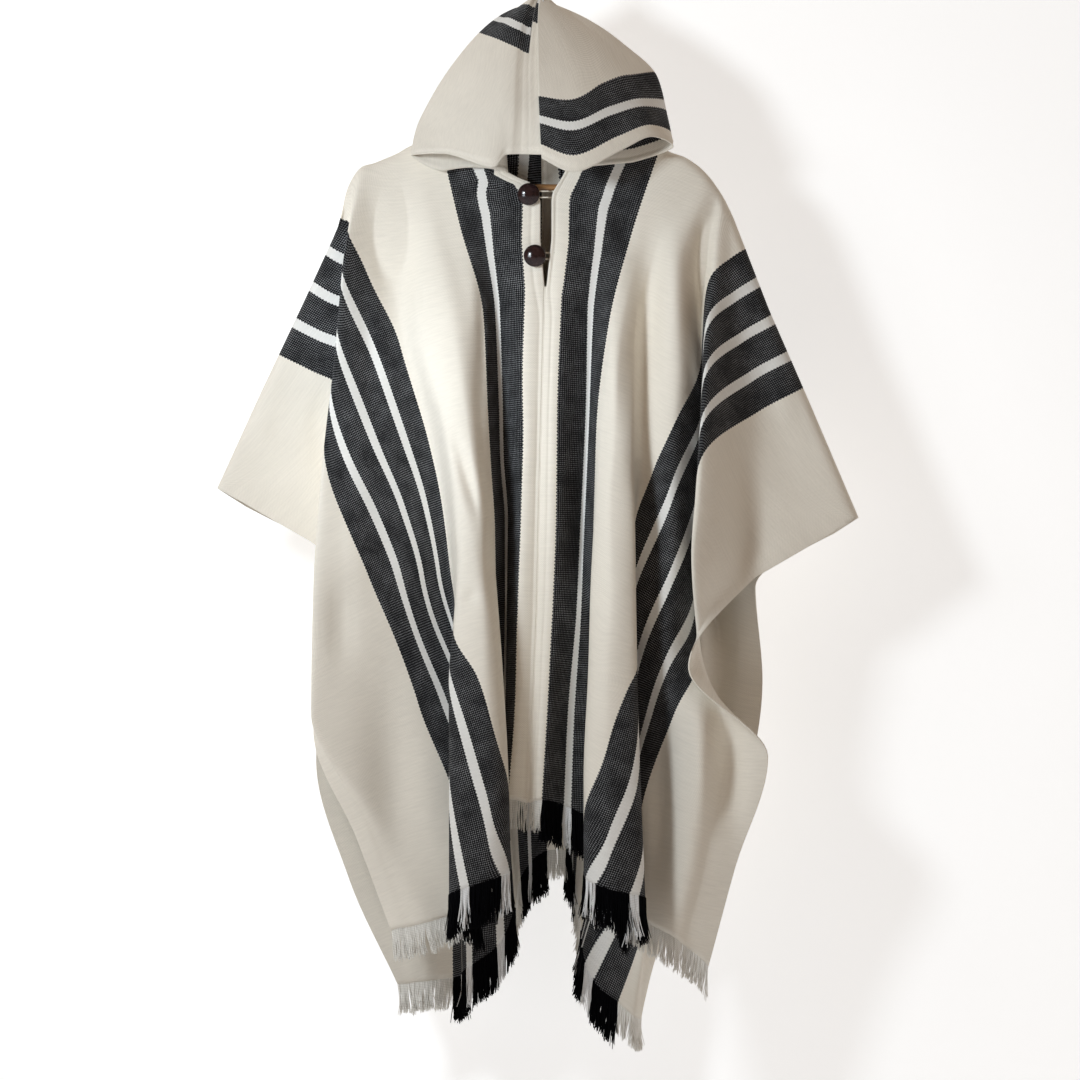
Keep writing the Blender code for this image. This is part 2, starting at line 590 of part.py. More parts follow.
# ---- buttons and loops ----
def front_depth(side, across, drop):
    """The depth of one width's front beside the slit, at a place seen from the front."""
    sheet = width_sheets(side)[0]
    outward = -1 if side == "left" else 1
    depths = []
    drops = []
    for row in range(len(sheet[0])):
        places = outward * sheet[0][row, :5]
        depths.append(np.interp(outward * across, places, sheet[2][row, :5]))
        drops.append(np.interp(outward * across, places, sheet[1][row, :5]))
    return np.interp(drop, drops, depths)


def most_forward(across, drop, reach):
    """The frontmost depth of either width within reach of a fastening."""
    around = ((0, 0), (-reach, 0), (reach, 0), (0, -reach), (0, reach))
    return min(front_depth(side, across + aside, drop + below)
               for side in ("left", "right") for aside, below in around)


def button(across, drop, cloth):
    """A domed disc on a shank, turned about the fore and aft line."""
    radius = BUTTON_WIDTH / 2
    base = cloth - WALL / 2 - BUTTON_CLEARANCE
    profile = ((SHANK_WIDTH / 2, BUTTON_CLEARANCE - 0.4), (SHANK_WIDTH / 2, 0.0),
               (radius * 0.94, 0.0), (radius, -1.4), (radius * 0.97, -3.4),
               (radius * 0.84, -5.8), (radius * 0.58, -7.8), (radius * 0.26, -BUTTON_THICK))
    rings = []
    for reach, fore in profile:
        turns = [2 * math.pi * step / 20 for step in range(20)]
        rings.append([point(across + reach * math.cos(turn), drop + reach * math.sin(turn),
                            base + fore) for turn in turns])
    return skin(rings)


def loop(across, drop, cloth):
    """A cord from the right edge of the slit, round the button's shank and back."""
    depth = cloth - WALL / 2 - 0.6 - CORD / 2
    reach = SHANK_WIDTH / 2 + 0.4 + CORD / 2
    path = [(LOOP_ROOT_ACROSS, depth, -drop + reach), (across + 8, depth, -drop + reach)]
    for step in range(9):
        turn = math.pi / 2 + math.pi * step / 8
        path.append((across + reach * math.cos(turn), depth, -drop + reach * math.sin(turn)))
    path += [(across + 8, depth, -drop - reach), (LOOP_ROOT_ACROSS, depth, -drop - reach)]
    return tube(path, CORD / 2, 8)


# ---- hanger ----
def hanger_arms():
    """Both arms in one piece of bent beech with a round top edge."""
    table = np.array(ARM_TOP, float)
    stops = np.linspace(table[0, 0], table[-1, 0], ARM_SECTIONS)
    tops = smooth(table[:, 0], table[:, 1], stops)
    rings = []
    for stop, top in zip(stops, tops):
        end = min(stop - stops[0], stops[-1] - stop)
        swell = min(end / ARM_SWELL, 1)
        height = ARM_END_HEIGHT + (ARM_HEIGHT - ARM_END_HEIGHT) * swell
        half = ARM_THICK / 2 * (0.55 + 0.45 * min(end / ARM_TIP, 1))
        ring = []
        for step in range(6):
            turn = math.pi * step / 5
            ring.append(point(stop, top + half - half * math.sin(turn), -half * math.cos(turn)))
        for step in range(6):
            turn = math.pi * step / 5
            ring.append(point(stop, top + height - half + half * math.sin(turn), half * math.cos(turn)))
        rings.append(ring)
    return skin(rings)


def hanger_bar():
    """The trouser bar, from the underside of one arm to the other."""
    table = np.array(ARM_TOP, float)
    under = table[:, 1] + ARM_HEIGHT
    level = BAR_DROP - BAR_WIDTH / 2 - 0.5
    middle = len(table) // 2
    start = np.interp(-level, -under[:middle], table[:middle, 0])
    stop = np.interp(level, under[middle:], table[middle:, 0])
    radius = BAR_WIDTH / 2
    path = [(start, 0, -BAR_DROP), (start + 20, 0, -BAR_DROP), (stop - 20, 0, -BAR_DROP),
            (stop, 0, -BAR_DROP)]
    return tube(path, radius, 14)


def hanger_hook():
    """The steel hook: a straight stem that bends into an open round crook."""
    foot = ARM_TOP[5][1] - 0.4
    path = [(0, 0, -foot), (0, 0, -foot + 60), (0, 0, -foot + 120), (0, 0, -60), (0.6, 0, -54),
            (2.6, 0, -48), (6.0, 0, -43.2)]
    for step in range(1, 21):
        turn = math.radians(CROOK_START + CROOK_TURN * step)
        path.append((CROOK_RADIUS * math.cos(turn), 0, -CROOK_DROP + CROOK_RADIUS * math.sin(turn)))
    return tube(path, WIRE / 2, 9)


def build():
    for old in list(bpy.data.objects):
        bpy.data.objects.remove(old)
    for side in ("left", "right"):
        cloth = material("cloth_" + side, CREAM, 0.9)
        finish("cloth_" + side, width_mesh(side), cloth, WALL)
        hood = material("hood_" + side, CREAM, 0.9)
        finish("hood_" + side, hood_half(side), hood, HOOD_WALL)
        for place in ("front", "back"):
            name = "fringe_" + place + "_" + side
            finish(name, fringe(side, place), material(name, CHARCOAL, 0.9))
    for name, across, drop in BUTTONS:
        cloth = most_forward(across, drop, BUTTON_WIDTH / 2 + 4)
        finish("button_" + name, button(across, drop, cloth),
               material("button_" + name, BUTTON_BROWN, 0.35))
        finish("loop_" + name, loop(across, drop, cloth), material("loop_" + name, CHARCOAL, 0.8))
    finish("hanger_arms", hanger_arms(), material("hanger_arms", BEECH, 0.45))
    finish("hanger_bar", hanger_bar(), material("hanger_bar", BEECH, 0.45))
    finish("hanger_hook", hanger_hook(), material("hanger_hook", STEEL, 0.25, 1.0))


build()
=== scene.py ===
import math

import bpy
import numpy as np
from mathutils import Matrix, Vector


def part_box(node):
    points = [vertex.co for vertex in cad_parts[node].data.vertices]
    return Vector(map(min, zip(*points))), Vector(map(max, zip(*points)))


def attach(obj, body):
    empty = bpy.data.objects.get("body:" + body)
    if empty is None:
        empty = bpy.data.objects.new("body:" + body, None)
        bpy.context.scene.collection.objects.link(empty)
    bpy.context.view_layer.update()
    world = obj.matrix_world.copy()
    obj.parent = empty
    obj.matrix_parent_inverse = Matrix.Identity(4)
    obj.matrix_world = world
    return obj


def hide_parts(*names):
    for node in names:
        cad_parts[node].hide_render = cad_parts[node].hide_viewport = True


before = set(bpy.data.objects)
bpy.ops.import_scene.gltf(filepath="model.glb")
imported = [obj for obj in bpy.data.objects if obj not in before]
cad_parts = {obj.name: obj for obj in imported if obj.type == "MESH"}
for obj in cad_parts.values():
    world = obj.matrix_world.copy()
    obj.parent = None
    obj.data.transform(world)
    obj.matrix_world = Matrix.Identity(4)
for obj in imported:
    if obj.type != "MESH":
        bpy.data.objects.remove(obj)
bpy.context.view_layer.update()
MM = 0.001  # tables and sizes below are in mm, unless a comment says otherwise


# ---- Room, light and camera ----
# A pale wall close behind the hanging poncho and a pale floor below it.  One soft cool
# light stands in front on the left, a weak near one brightens the left of the chest, and
# a little warm light comes from the rest of the room.
WALL_Y = 0.17  # m
FLOOR_Z = -1.62  # m
WALL_GREY = 0.72
FLOOR_GREY = 0.42
WALL_GLOW = 0.58  # the room is evenly lit from elsewhere, so shadows on it stay pale
FLOOR_GLOW = 0.36
COOL = (0.84, 0.93, 1.0)
WARM = (1.0, 0.62, 0.30, 1)
WARM_STRENGTH = 0.17
AIR_GREY = 0.92  # what the camera sees past the wall and the floor


def put(tree, node, inputs):
    """Set a node's inputs, or join them where the value is another node's output."""
    for key, value in dict(inputs).items():
        if isinstance(value, bpy.types.NodeSocket):
            tree.links.new(value, node.inputs[key])
        else:
            node.inputs[key].default_value = value


def nodes_of(name):
    """A new material, and short ways to add nodes to it and to set its shader's inputs."""
    paint = bpy.data.materials.new(name)
    paint.use_nodes = True
    tree = paint.node_tree

    def add(kind, inputs=(), **settings):
        node = tree.nodes.new(kind)
        for key, value in settings.items():
            setattr(node, key, value)
        put(tree, node, inputs)
        return node

    def maths(kind, first, second=0.0):
        return add("ShaderNodeMath", {0: first, 1: second}, operation=kind).outputs[0]

    def noise(place, scale, detail, **more):
        inputs = {"Vector": place, "Scale": scale, "Detail": detail, **more}
        return add("ShaderNodeTexNoise", inputs).outputs[0]

    def mix(share, one, other, way="MIX"):
        return add("ShaderNodeMix", {"Factor": share, "A": one, "B": other}, data_type="RGBA",
                   blend_type=way).outputs["Result"]

    def finish(inputs):
        put(tree, tree.nodes["Principled BSDF"], inputs)

    return paint, add, maths, noise, mix, finish


def sheet_of_room(name, corners, grey, glow):
    """A flat of the room, clear from its rear so that the back of the poncho can be seen."""
    mesh = bpy.data.meshes.new(name)
    mesh.from_pydata(corners, [], [(0, 1, 2, 3)])
    plane = bpy.data.objects.new(name, mesh)
    bpy.context.scene.collection.objects.link(plane)
    paint, add, *_, finish = nodes_of(name)
    finish({"Base Color": (grey, grey, grey, 1), "Roughness": 0.95,
            "Emission Color": (1, 1, 1, 1), "Emission Strength": glow})
    tree = paint.node_tree
    one_sided = add("ShaderNodeMixShader", {0: add("ShaderNodeNewGeometry").outputs["Backfacing"],
                                            1: tree.nodes["Principled BSDF"].outputs[0],
                                            2: add("ShaderNodeBsdfTransparent").outputs[0]})
    put(tree, tree.nodes["Material Output"], {"Surface": one_sided.outputs[0]})
    mesh.materials.append(paint)


sheet_of_room("wall", [(-6, WALL_Y, FLOOR_Z), (6, WALL_Y, FLOOR_Z), (6, WALL_Y, 4), (-6, WALL_Y, 4)],
              WALL_GREY, WALL_GLOW)
sheet_of_room("floor", [(-6, -6, FLOOR_Z), (6, -6, FLOOR_Z), (6, WALL_Y, FLOOR_Z), (-6, WALL_Y, FLOOR_Z)],
              FLOOR_GREY, FLOOR_GLOW)


def soft_light(name, place, target, size, power, cone):
    """A cool disk light that faces a target, its light kept to a cone of so many degrees."""
    lamp = bpy.data.lights.new(name, "AREA")
    lamp.shape = "DISK"
    lamp.size = size
    lamp.energy = power
    lamp.color = COOL
    lamp.spread = math.radians(cone)
    light = bpy.data.objects.new(name, lamp)
    light.visible_camera = False
    away = np.array(place, float) - np.array(target, float)
    flat = math.hypot(away[0], away[1])
    light.location = place
    light.rotation_euler = (math.atan2(flat, away[2]), 0, math.atan2(away[0], -away[1]))
    bpy.context.scene.collection.objects.link(light)


soft_light("window", (-1.1, -1.55, 0.0), (0, 0, -0.6), 0.35, 21, 180)
soft_light("lamp", (-0.40, -0.56, -0.42), (-0.05, 0, -0.62), 0.2, 0.33, 75)
world = bpy.data.worlds.new("room")
world.use_nodes = True
air = world.node_tree
warm = air.nodes["Background"]
seen = air.nodes.new("ShaderNodeBackground")
either = air.nodes.new("ShaderNodeMixShader")
put(air, warm, {"Color": WARM, "Strength": WARM_STRENGTH})
put(air, seen, {"Color": (AIR_GREY, AIR_GREY, AIR_GREY, 1)})
put(air, either, {0: air.nodes.new("ShaderNodeLightPath").outputs["Is Camera Ray"],
                  1: warm.outputs[0], 2: seen.outputs[0]})
put(air, air.nodes["World Output"], {"Surface": either.outputs[0]})
bpy.context.scene.world = world
bpy.context.scene.view_settings.view_transform = "Standard"

# The view is 1.404 m across at the hanger's own plane, square on and from far off.
VIEW_WIDTH = 1.404  # m, as are the next two
VIEW_CENTRE = (-0.0013, -0.767)
VIEW_DISTANCE = 20.0
SENSOR = 36
lens = bpy.data.cameras.new("camera")
lens.sensor_width = SENSOR
lens.lens = SENSOR * VIEW_DISTANCE / VIEW_WIDTH
lens.clip_end = 60
camera = bpy.data.objects.new("camera", lens)
camera.location = (VIEW_CENTRE[0], -VIEW_DISTANCE, VIEW_CENTRE[1])
camera.rotation_euler = (math.pi / 2, 0, 0)
bpy.context.scene.collection.objects.link(camera)
bpy.context.scene.camera = camera


# ---- The two loom widths ----
# Each half of the poncho is one width of wool-blend cloth off the loom, cream with
# charcoal and white warp stripes.  It runs from the front hem over the hanger's arm to
# the back hem, and is sewn to the other half down the centre, below a buttoned slit.
FOLDS = ("seam", "strip", "valley_in", "wall", "limb_in", "crest", "limb_out",
         "valley_mid", "slope", "ridge", "valley_out", "wing", "edge")
ROLL = 10.0  # radius of the shoulder and of the wing's turned edge
FOLD_ROUND = 0.6  # how round the folds are between their lines, for smooth()
BACK_SHARE = 0.6  # the back's first folds, as a share of the front's
SWELL_START = 0.06  # back folds rise from this level,
SWELL_RUN = 0.34  # over this much of the fall,
FADE_START = 0.62  # and die away from here to the hem
LEAN_ROWS = (0.70, 0.93, 1)  # the back's middle stripes lean aside between these levels
SEAM_GAP = 1.4  # between the two widths' edges
WALL = 2.0
LOOM_WIDTH = 660.0
CREASE_DEPTH = 1.5  # what a crease's stated depth is multiplied by
CREASE_CALM = 40  # creases and the turned edge fade out this near the outline
TURN_RISE = 1.3  # height of the turned edge,
TURN_GROOVE = 0.9  # and depth of the groove beside it
LINES_APART = 3  # least distance between the back's fold lines
WARP_ROUNDS = 600  # rounds of the least squares along the warp
SLIT_END = 436.0  # drop of the slit's foot
NECK_FOOT = 325  # drop where the neck's cut meets the warp,
NECK_RISE = 30  # coming in over this much above it
NAPE_END = 640  # on the left the back's inner stripes lean to the nape: nothing at
NAPE_RUN = 350  # this drop, all of it this much higher,
NAPE_SHIFT = (19, 46, 46, 20, 0)  # by so much at the first fold lines

# Both tables, for a width as it hangs.  A level is a share of the fall from the shoulder
# line to the hem, and a place across is from the centre, positive to the right.
#   corner: level of the wing's corner; turned: width of the turned edge by slit and seam
#   top_drop, hem_drop: how far below the hook the shoulder line and hem are, at each fold
#   across, forward, cloth: at each level and fold, the place across, the distance ahead of
#     the hanger and the place in the loom width
#   back_across, back_drop, back_depth, back_cloth: the same at the back hem
#   back_folds, back_lean: how far the back's folds swell, and its stripes lean, above it
#   back_selvage: (level, across, drop) of the back's outer edge
#   neck_front, neck_back: (drop, across) of the neck's edge and the slit
LEFT = {
    "corner": 0.38,
    "turned": (9.0, 3.4),
    "levels": (0, 0.12, 0.25, 0.38, 0.46, 0.55, 0.72, 0.87, 1),
    "top_drop": (224, 228, 237, 246, 250, 255, 265, 272, 278, 283, 300, 322, 348),
    "hem_drop": (1108, 1105, 1152, 1173, 1193, 1209, 1226, 1242, 1254, 1264, 1269, 1271, 1274),
    "across": (
        (-47, -61, -96, -130, -147, -168, -186, -202, -217, -233, -246, -254, -257),
        (0, -23, -70, -104, -122, -143, -173, -200, -228, -255, -248, -273, -308),
        (5, -20, -56, -74, -91, -116, -150, -178, -216, -266, -255, -303, -365),
        (3, -22, -51, -69, -79, -96, -120, -144, -202, -280, -265, -330, -420),
        (0, -22, -49, -65, -72, -86, -110, -130, -192, -286, -273, -280, -290),
        (-1, -23, -43, -60, -64, -78, -105, -120, -177, -290, -280, -270, -277),
        (-5, -29, -47, -62, -51, -72, -118, -107, -176, -292, -290, -291, -294),
        (-12, -34, -56, -74, -43, -65, -118, -90, -150, -202, -221, -231, -239),
        (-16, -42, -66, -86, -40, -74, -118, -81, -118, -151, -172, -185, -194),
    ),
    "forward": (
        (0, 0, 0, 0, 0, 0, 0, 0, 0, 0, 0, 0, 0),
        (6, 7, 6, 8, 10, 13, 11, 8, 14, 32, 6, 3, 0),
        (20, 23, 5, 36, 48, 60, 56, 36, 42, 64, 12, 4, 0),
        (30, 34, 4, 46, 62, 84, 80, 38, 58, 92, 16, 5, 0),
        (34, 39, 3, 50, 68, 96, 92, 42, 64, 100, 24, 10, 0),
        (38, 43, 3, 54, 74, 108, 104, 46, 70, 106, 56, 28, 6),
        (44, 50, 3, 42, 88, 124, 106, 50, 66, 86, 72, 64, 54),
        (48, 53, 5, 38, 92, 128, 112, 48, 50, 58, 50, 42, 34),
        (52, 56, 14, 8, 98, 132, 112, 42, 40, 48, 42, 34, 24),
    ),
    "cloth": (
        (0, 18, 64, 109, 129, 152, 176, 194, 212, 229, 250, 270, 294),
        (0, 18, 64, 109, 130, 156, 198, 244, 285, 321, 348, 378, 417),
        (0, 18, 64, 109, 134, 166, 221, 289, 339, 407, 464, 502, 545),
        (0, 18, 64, 109, 138, 172, 224, 294, 380, 489, 564, 607, 660),
        (0, 18, 61, 109, 135, 169, 231, 300, 412, 532, 608, 637, 660),
        (0, 18, 61, 109, 127, 166, 240, 305, 434, 568, 611, 637, 660),
        (0, 18, 74, 143, 218, 282, 348, 406, 512, 646, 651, 656, 660),
        (0, 18, 104, 195, 284, 326, 396, 458, 543, 608, 637, 649, 660),
        (0, 18, 117, 169, 326, 366, 428, 478, 524, 574, 611, 637, 660),
    ),
    "back_across": (21, 9, -13, -30, -36, -56, -98, -104, -131, -150, -164, -177, -187),
    "back_drop": (1170, 1172, 1188, 1216, 1252, 1295, 1327, 1336, 1340, 1343, 1344, 1346, 1346),
    "back_depth": (38, 40, 56, 46, 20, 16, 30, 58, 62, 56, 52, 50, 48),
    "back_folds": (0, 0, 18, 6, 0, 0, 27, 0, 34, 2, 30, 4, 0),
    "back_cloth": (0, 18, 64, 130, 312, 346, 404, 468, 514, 559, 601, 634, 660),
    "back_selvage": ((0.46, -290, 770), (0.55, -280, 878), (0.72, -293, 1054), (0.87, -250, 1209),
                     (1, -187, 1346)),
    "back_lean": 0.0,
    "neck_front": ((224, -47), (290, -42), (294, -34), (303, -12), (325, 0), (377, 0), (436, 5)),
    "neck_back": ((224, -47), (232, -33), (243, -15), (254, 0)),
    # start across, start drop, end across, end drop, half width, depth of the trough
    "creases": (
        (-118, 610, -70, 775, 9, 7), (-78, 740, -56, 870, 9, 6), (-108, 846, -76, 838, 8, 4),
        (-192, 270, -176, 560, 24, 11), (-226, 299, -196, 494, 14, 4), (-286, 540, -262, 740, 22, 7),
        (-350, 560, -372, 660, 12, -4), (-206, 870, -178, 1330, 34, 13), (-262, 790, -256, 960, 14, 6),
        (-232, 420, -214, 640, 12, 3), (-77, 370, -75, 650, 9, 6), (-243, 690, -232, 850, 14, -4),
    ),
    "back_creases": (
        (-20, 270, -110, 520, 16, 5), (-60, 262, -170, 430, 14, 4), (-210, 330, -190, 640, 16, 5),
        (-90, 600, -80, 900, 18, 6), (-180, 700, -170, 1000, 18, -6), (-300, 560, -260, 680, 12, 4),
        (-250, 850, -240, 1100, 14, 5), (-30, 800, -24, 1050, 12, -5), (-130, 1000, -120, 1250, 14, 5),
    ),
}
RIGHT = {
    "corner": 0.40,
    "turned": (4.0, 8.5),
    "levels": (0, 0.12, 0.25, 0.40, 0.48, 0.60, 0.72, 0.87, 1),
    "top_drop": (226, 231, 244, 257, 264, 270, 278, 285, 298, 312, 325, 337, 350),
    "hem_drop": (1108, 1104, 1113, 1150, 1199, 1218, 1230, 1242, 1262, 1280, 1294, 1306, 1320),
    "across": (
        (61, 77, 116, 153, 169, 186, 199, 208, 220, 230, 238, 244, 250),
        (13, 36, 77, 117, 126, 134, 142, 152, 179, 208, 221, 252, 295),
        (6, 27, 64, 88, 94, 104, 118, 135, 178, 209, 213, 278, 350),
        (3, 22, 61, 72, 81, 96, 116, 133, 170, 209, 203, 298, 412),
        (1, 21, 58, 70, 74, 91, 120, 121, 170, 207, 196, 252, 278),
        (-3, 18, 52, 68, 66, 92, 122, 113, 164, 202, 205, 198, 191),
        (-5, 14, 47, 74, 62, 87, 124, 113, 160, 203, 238, 269, 294),
        (-12, 6, 36, 88, 56, 87, 129, 108, 142, 194, 217, 235, 251),
        (-16, 0, 32, 90, 56, 88, 134, 105, 135, 170, 187, 203, 217),
    ),
    "forward": (
        (0, 0, 0, 0, 0, 0, 0, 0, 0, 0, 0, 0, 0),
        (6, 7, 8, 10, 12, 13, 14, 15, 26, 5, 28, 8, 0),
        (20, 24, 10, 28, 38, 44, 40, 24, 42, 10, 66, 8, 0),
        (30, 34, 6, 34, 54, 70, 64, 26, 48, 10, 92, 14, 0),
        (34, 39, 4, 38, 62, 86, 78, 28, 52, 12, 100, 40, 24),
        (40, 46, 4, 42, 72, 108, 94, 32, 58, 16, 60, 78, 94),
        (44, 50, 22, 14, 84, 116, 98, 30, 52, 74, 52, 56, 62),
        (48, 53, 18, 10, 94, 126, 104, 32, 42, 70, 54, 48, 42),
        (52, 58, 20, 12, 98, 132, 108, 36, 44, 60, 48, 42, 36),
    ),
    "cloth": (
        (0, 18, 64, 109, 127, 148, 165, 178, 196, 214, 230, 243, 256),
        (0, 18, 64, 109, 121, 131, 142, 156, 196, 250, 311, 344, 378),
        (0, 18, 64, 109, 120, 135, 156, 183, 257, 312, 411, 469, 514),
        (0, 18, 64, 109, 122, 146, 186, 268, 332, 403, 524, 601, 660),
        (0, 18, 64, 109, 120, 146, 195, 294, 368, 436, 559, 634, 660),
        (0, 18, 64, 109, 120, 150, 221, 335, 419, 474, 629, 646, 660),
        (0, 18, 64, 153, 220, 266, 320, 380, 473, 530, 572, 616, 660),
        (0, 18, 64, 159, 273, 317, 366, 426, 517, 576, 604, 630, 660),
        (0, 18, 64, 162, 325, 362, 416, 470, 523, 578, 608, 634, 660),
    ),
    "back_across": (21, 31, 42, 52, 56, 72, 99, 118, 125, 127, 129, 130, 130),
    "back_drop": (1170, 1172, 1200, 1262, 1310, 1346, 1369, 1386, 1391, 1392, 1392, 1391, 1388),
    "back_depth": (38, 40, 54, 44, 20, 14, 28, 36, 48, 58, 66, 74, 80),
    "back_folds": (0, 0, 22, 4, 0, 0, 36, 4, 34, 0, 30, 6, 0),
    "back_cloth": (0, 18, 78, 240, 432, 456, 489, 520, 551, 582, 611, 637, 660),
    "back_selvage": ((0.44, 300, 797), (0.48, 279, 828), (0.60, 289, 949), (0.72, 274, 1066),
                     (0.87, 188, 1235), (0.94, 150, 1310), (1, 130, 1388)),
    "back_lean": 20.0,
    "neck_front": ((226, 61), (295, 27), (316, 14), (325, 13), (377, 13), (434, 7)),
    "neck_back": ((226, 61), (234, 41), (245, 19), (254, 1)),
    "creases": (
        (140, 320, 134, 650, 20, 12), (92, 440, 91, 640, 13, -5), (176, 320, 166, 560, 15, -6),
        (210, 330, 214, 500, 10, 8), (262, 600, 276, 900, 27, 12), (246, 930, 248, 1190, 20, 12),
        (207, 930, 212, 1170, 14, -6), (300, 470, 330, 640, 14, -4), (150, 640, 148, 860, 14, 5),
        (158, 960, 157, 1260, 15, 7), (95, 300, 118, 420, 14, 3), (352, 545, 368, 660, 12, 6),
    ),
    "back_creases": (
        (30, 270, 120, 520, 16, 5), (80, 270, 190, 440, 14, 4), (220, 340, 200, 650, 16, 5),
        (110, 620, 96, 920, 18, 6), (190, 720, 176, 1010, 18, -6), (300, 600, 262, 720, 12, 4),
        (240, 860, 236, 1100, 14, 5), (50, 820, 40, 1080, 12, -5), (140, 1010, 120, 1260, 14, 5),
    ),
}
# Drop, place across and distance from the hanger's plane of the centre seams.
FRONT_SEAM = ((446, 5, 20), (562, 2, 30), (632, 0, 34), (711, -2, 38), (861, -5, 44),
              (993, -11, 48), (1108, -16, 52))
BACK_SEAM = ((266, 1, 8), (450, 3, 14), (700, 8, 22), (950, 15, 32), (1170, 21, 38))
# Places over the fold lines, closest at the turned selvage.
COLUMNS = np.concatenate([np.arange(0, 11.5, 1 / 12),
                          (11.5, 11.6, 11.7, 11.79, 11.86, 11.92, 11.96, 11.985, 12)])


def eased(share):
    """0 below 0, 1 above 1, and 3s^2 - 2s^3 between them."""
    share = np.clip(share, 0, 1)
    return share ** 2 * (3 - 2 * share)


def unit(arrows):
    """Arrows along the last axis, each divided by its length."""
    return arrows / np.maximum(np.linalg.norm(arrows, axis=-1), 1e-9)[..., None]


def run_along(points):
    """Length from the first point to each one, over the first axis."""
    steps = np.linalg.norm(np.diff(points, axis=0), axis=-1)
    return np.concatenate([np.zeros((1, *steps.shape[1:])), np.cumsum(steps, axis=0)])


def smooth(knots, values, places, rounded=0.0):
    """Monotone cubic through values at knots, read at places.

    The slope at a knot is the harmonic mean of the slopes on its two sides, or nothing
    where they disagree.  A rounded share of their plain mean is mixed in.
    """
    knots = np.asarray(knots, float)
    values = np.asarray(values, float)
    places = np.asarray(places, float)
    shape = (-1,) + (1,) * (values.ndim - 1)
    step = np.diff(knots).reshape(shape)
    rise = np.diff(values, axis=0) / step
    slope = np.zeros_like(values)
    before = rise[:-1]
    after = rise[1:]
    agree = before * after > 0
    steady = np.where(agree, 2 * before * after / np.where(agree, before + after, 1), 0)
    slope[1:-1] = (1 - rounded) * steady + rounded * (before + after) / 2
    slope[0] = rise[0]
    slope[-1] = rise[-1]
    at = np.clip(np.searchsorted(knots, places, side="right") - 1, 0, len(knots) - 2)
    share = ((places - knots[at]) / np.diff(knots)[at]).reshape(shape)
    width = step[at]
    return ((1 + 2 * share) * (1 - share) ** 2 * values[at]
            + share * (1 - share) ** 2 * width * slope[at]
            + share ** 2 * (3 - 2 * share) * values[at + 1]
            + share ** 2 * (share - 1) * width * slope[at + 1])


def fill(levels, table, rows, rounded=FOLD_ROUND):
    """A table of fold lines, read at every row and column of a sheet."""
    return smooth(range(len(FOLDS)), smooth(levels, table, rows).T, COLUMNS, rounded).T


def from_boundary(across, drop, line):
    """How far each point lies from a line of points, seen from the front."""
    near = np.full(across.shape, 1e9)
    for (x0, z0), (x1, z1) in zip(line[:-1], line[1:]):
        run = max((x1 - x0) ** 2 + (z1 - z0) ** 2, 1e-9)
        share = np.clip(((across - x0) * (x1 - x0) + (drop - z0) * (z1 - z0)) / run, 0, 1)
        near = np.minimum(near, np.hypot(across - x0 - share * (x1 - x0),
                                         drop - z0 - share * (z1 - z0)))
    return near


def creased(across, drop, creases):
    """Soft troughs (or ridges, if negative) along short lines; each fades out at its ends.

    Height is the depth times a bell across the line, times a bell-shaped fade along it.
    """
    total = np.zeros_like(across)
    for x0, z0, x1, z1, half, deep in creases:
        length = math.hypot(x1 - x0, z1 - z0)
        along = ((across - x0) * (x1 - x0) + (drop - z0) * (z1 - z0)) / length ** 2
        aside = ((across - x0) * (z1 - z0) - (drop - z0) * (x1 - x0)) / length
        fade = eased(1 - np.abs(2 * along - 1))
        total += CREASE_DEPTH * deep * fade * np.exp(-(aside / half) ** 2)
    return total


def pull_edge(grid, edge):
    """Set the seam column to an edge, and let the next columns follow it less and less."""
    follow = np.clip((3 - COLUMNS) / 2, 0, 1)
    return grid + (edge - grid[:, 0])[:, None] * follow


def seam_edge(grid, drops, seam, item, neck=()):
    """Make the inner edge of a sheet follow the neck and the shared centre seam."""
    line = np.array([(row[0], row[item]) for row in seam] + list(neck), float)
    line = line[np.argsort(line[:, 0])]
    target = np.interp(drops[:, 0], line[:, 0], line[:, 1])
    if item == 2:
        target = np.where(drops[:, 0] < line[0, 0], grid[:, 0], target)
    return target


def fine_rows(corner):
    """Levels down the sheet: a few for the round of the shoulder, then evenly spaced."""
    return np.concatenate([(0, 0.0012, 0.0035, 0.007, 0.0115), np.linspace(0.017, corner, 52),
                           np.linspace(corner, 1, 84)[1:]])


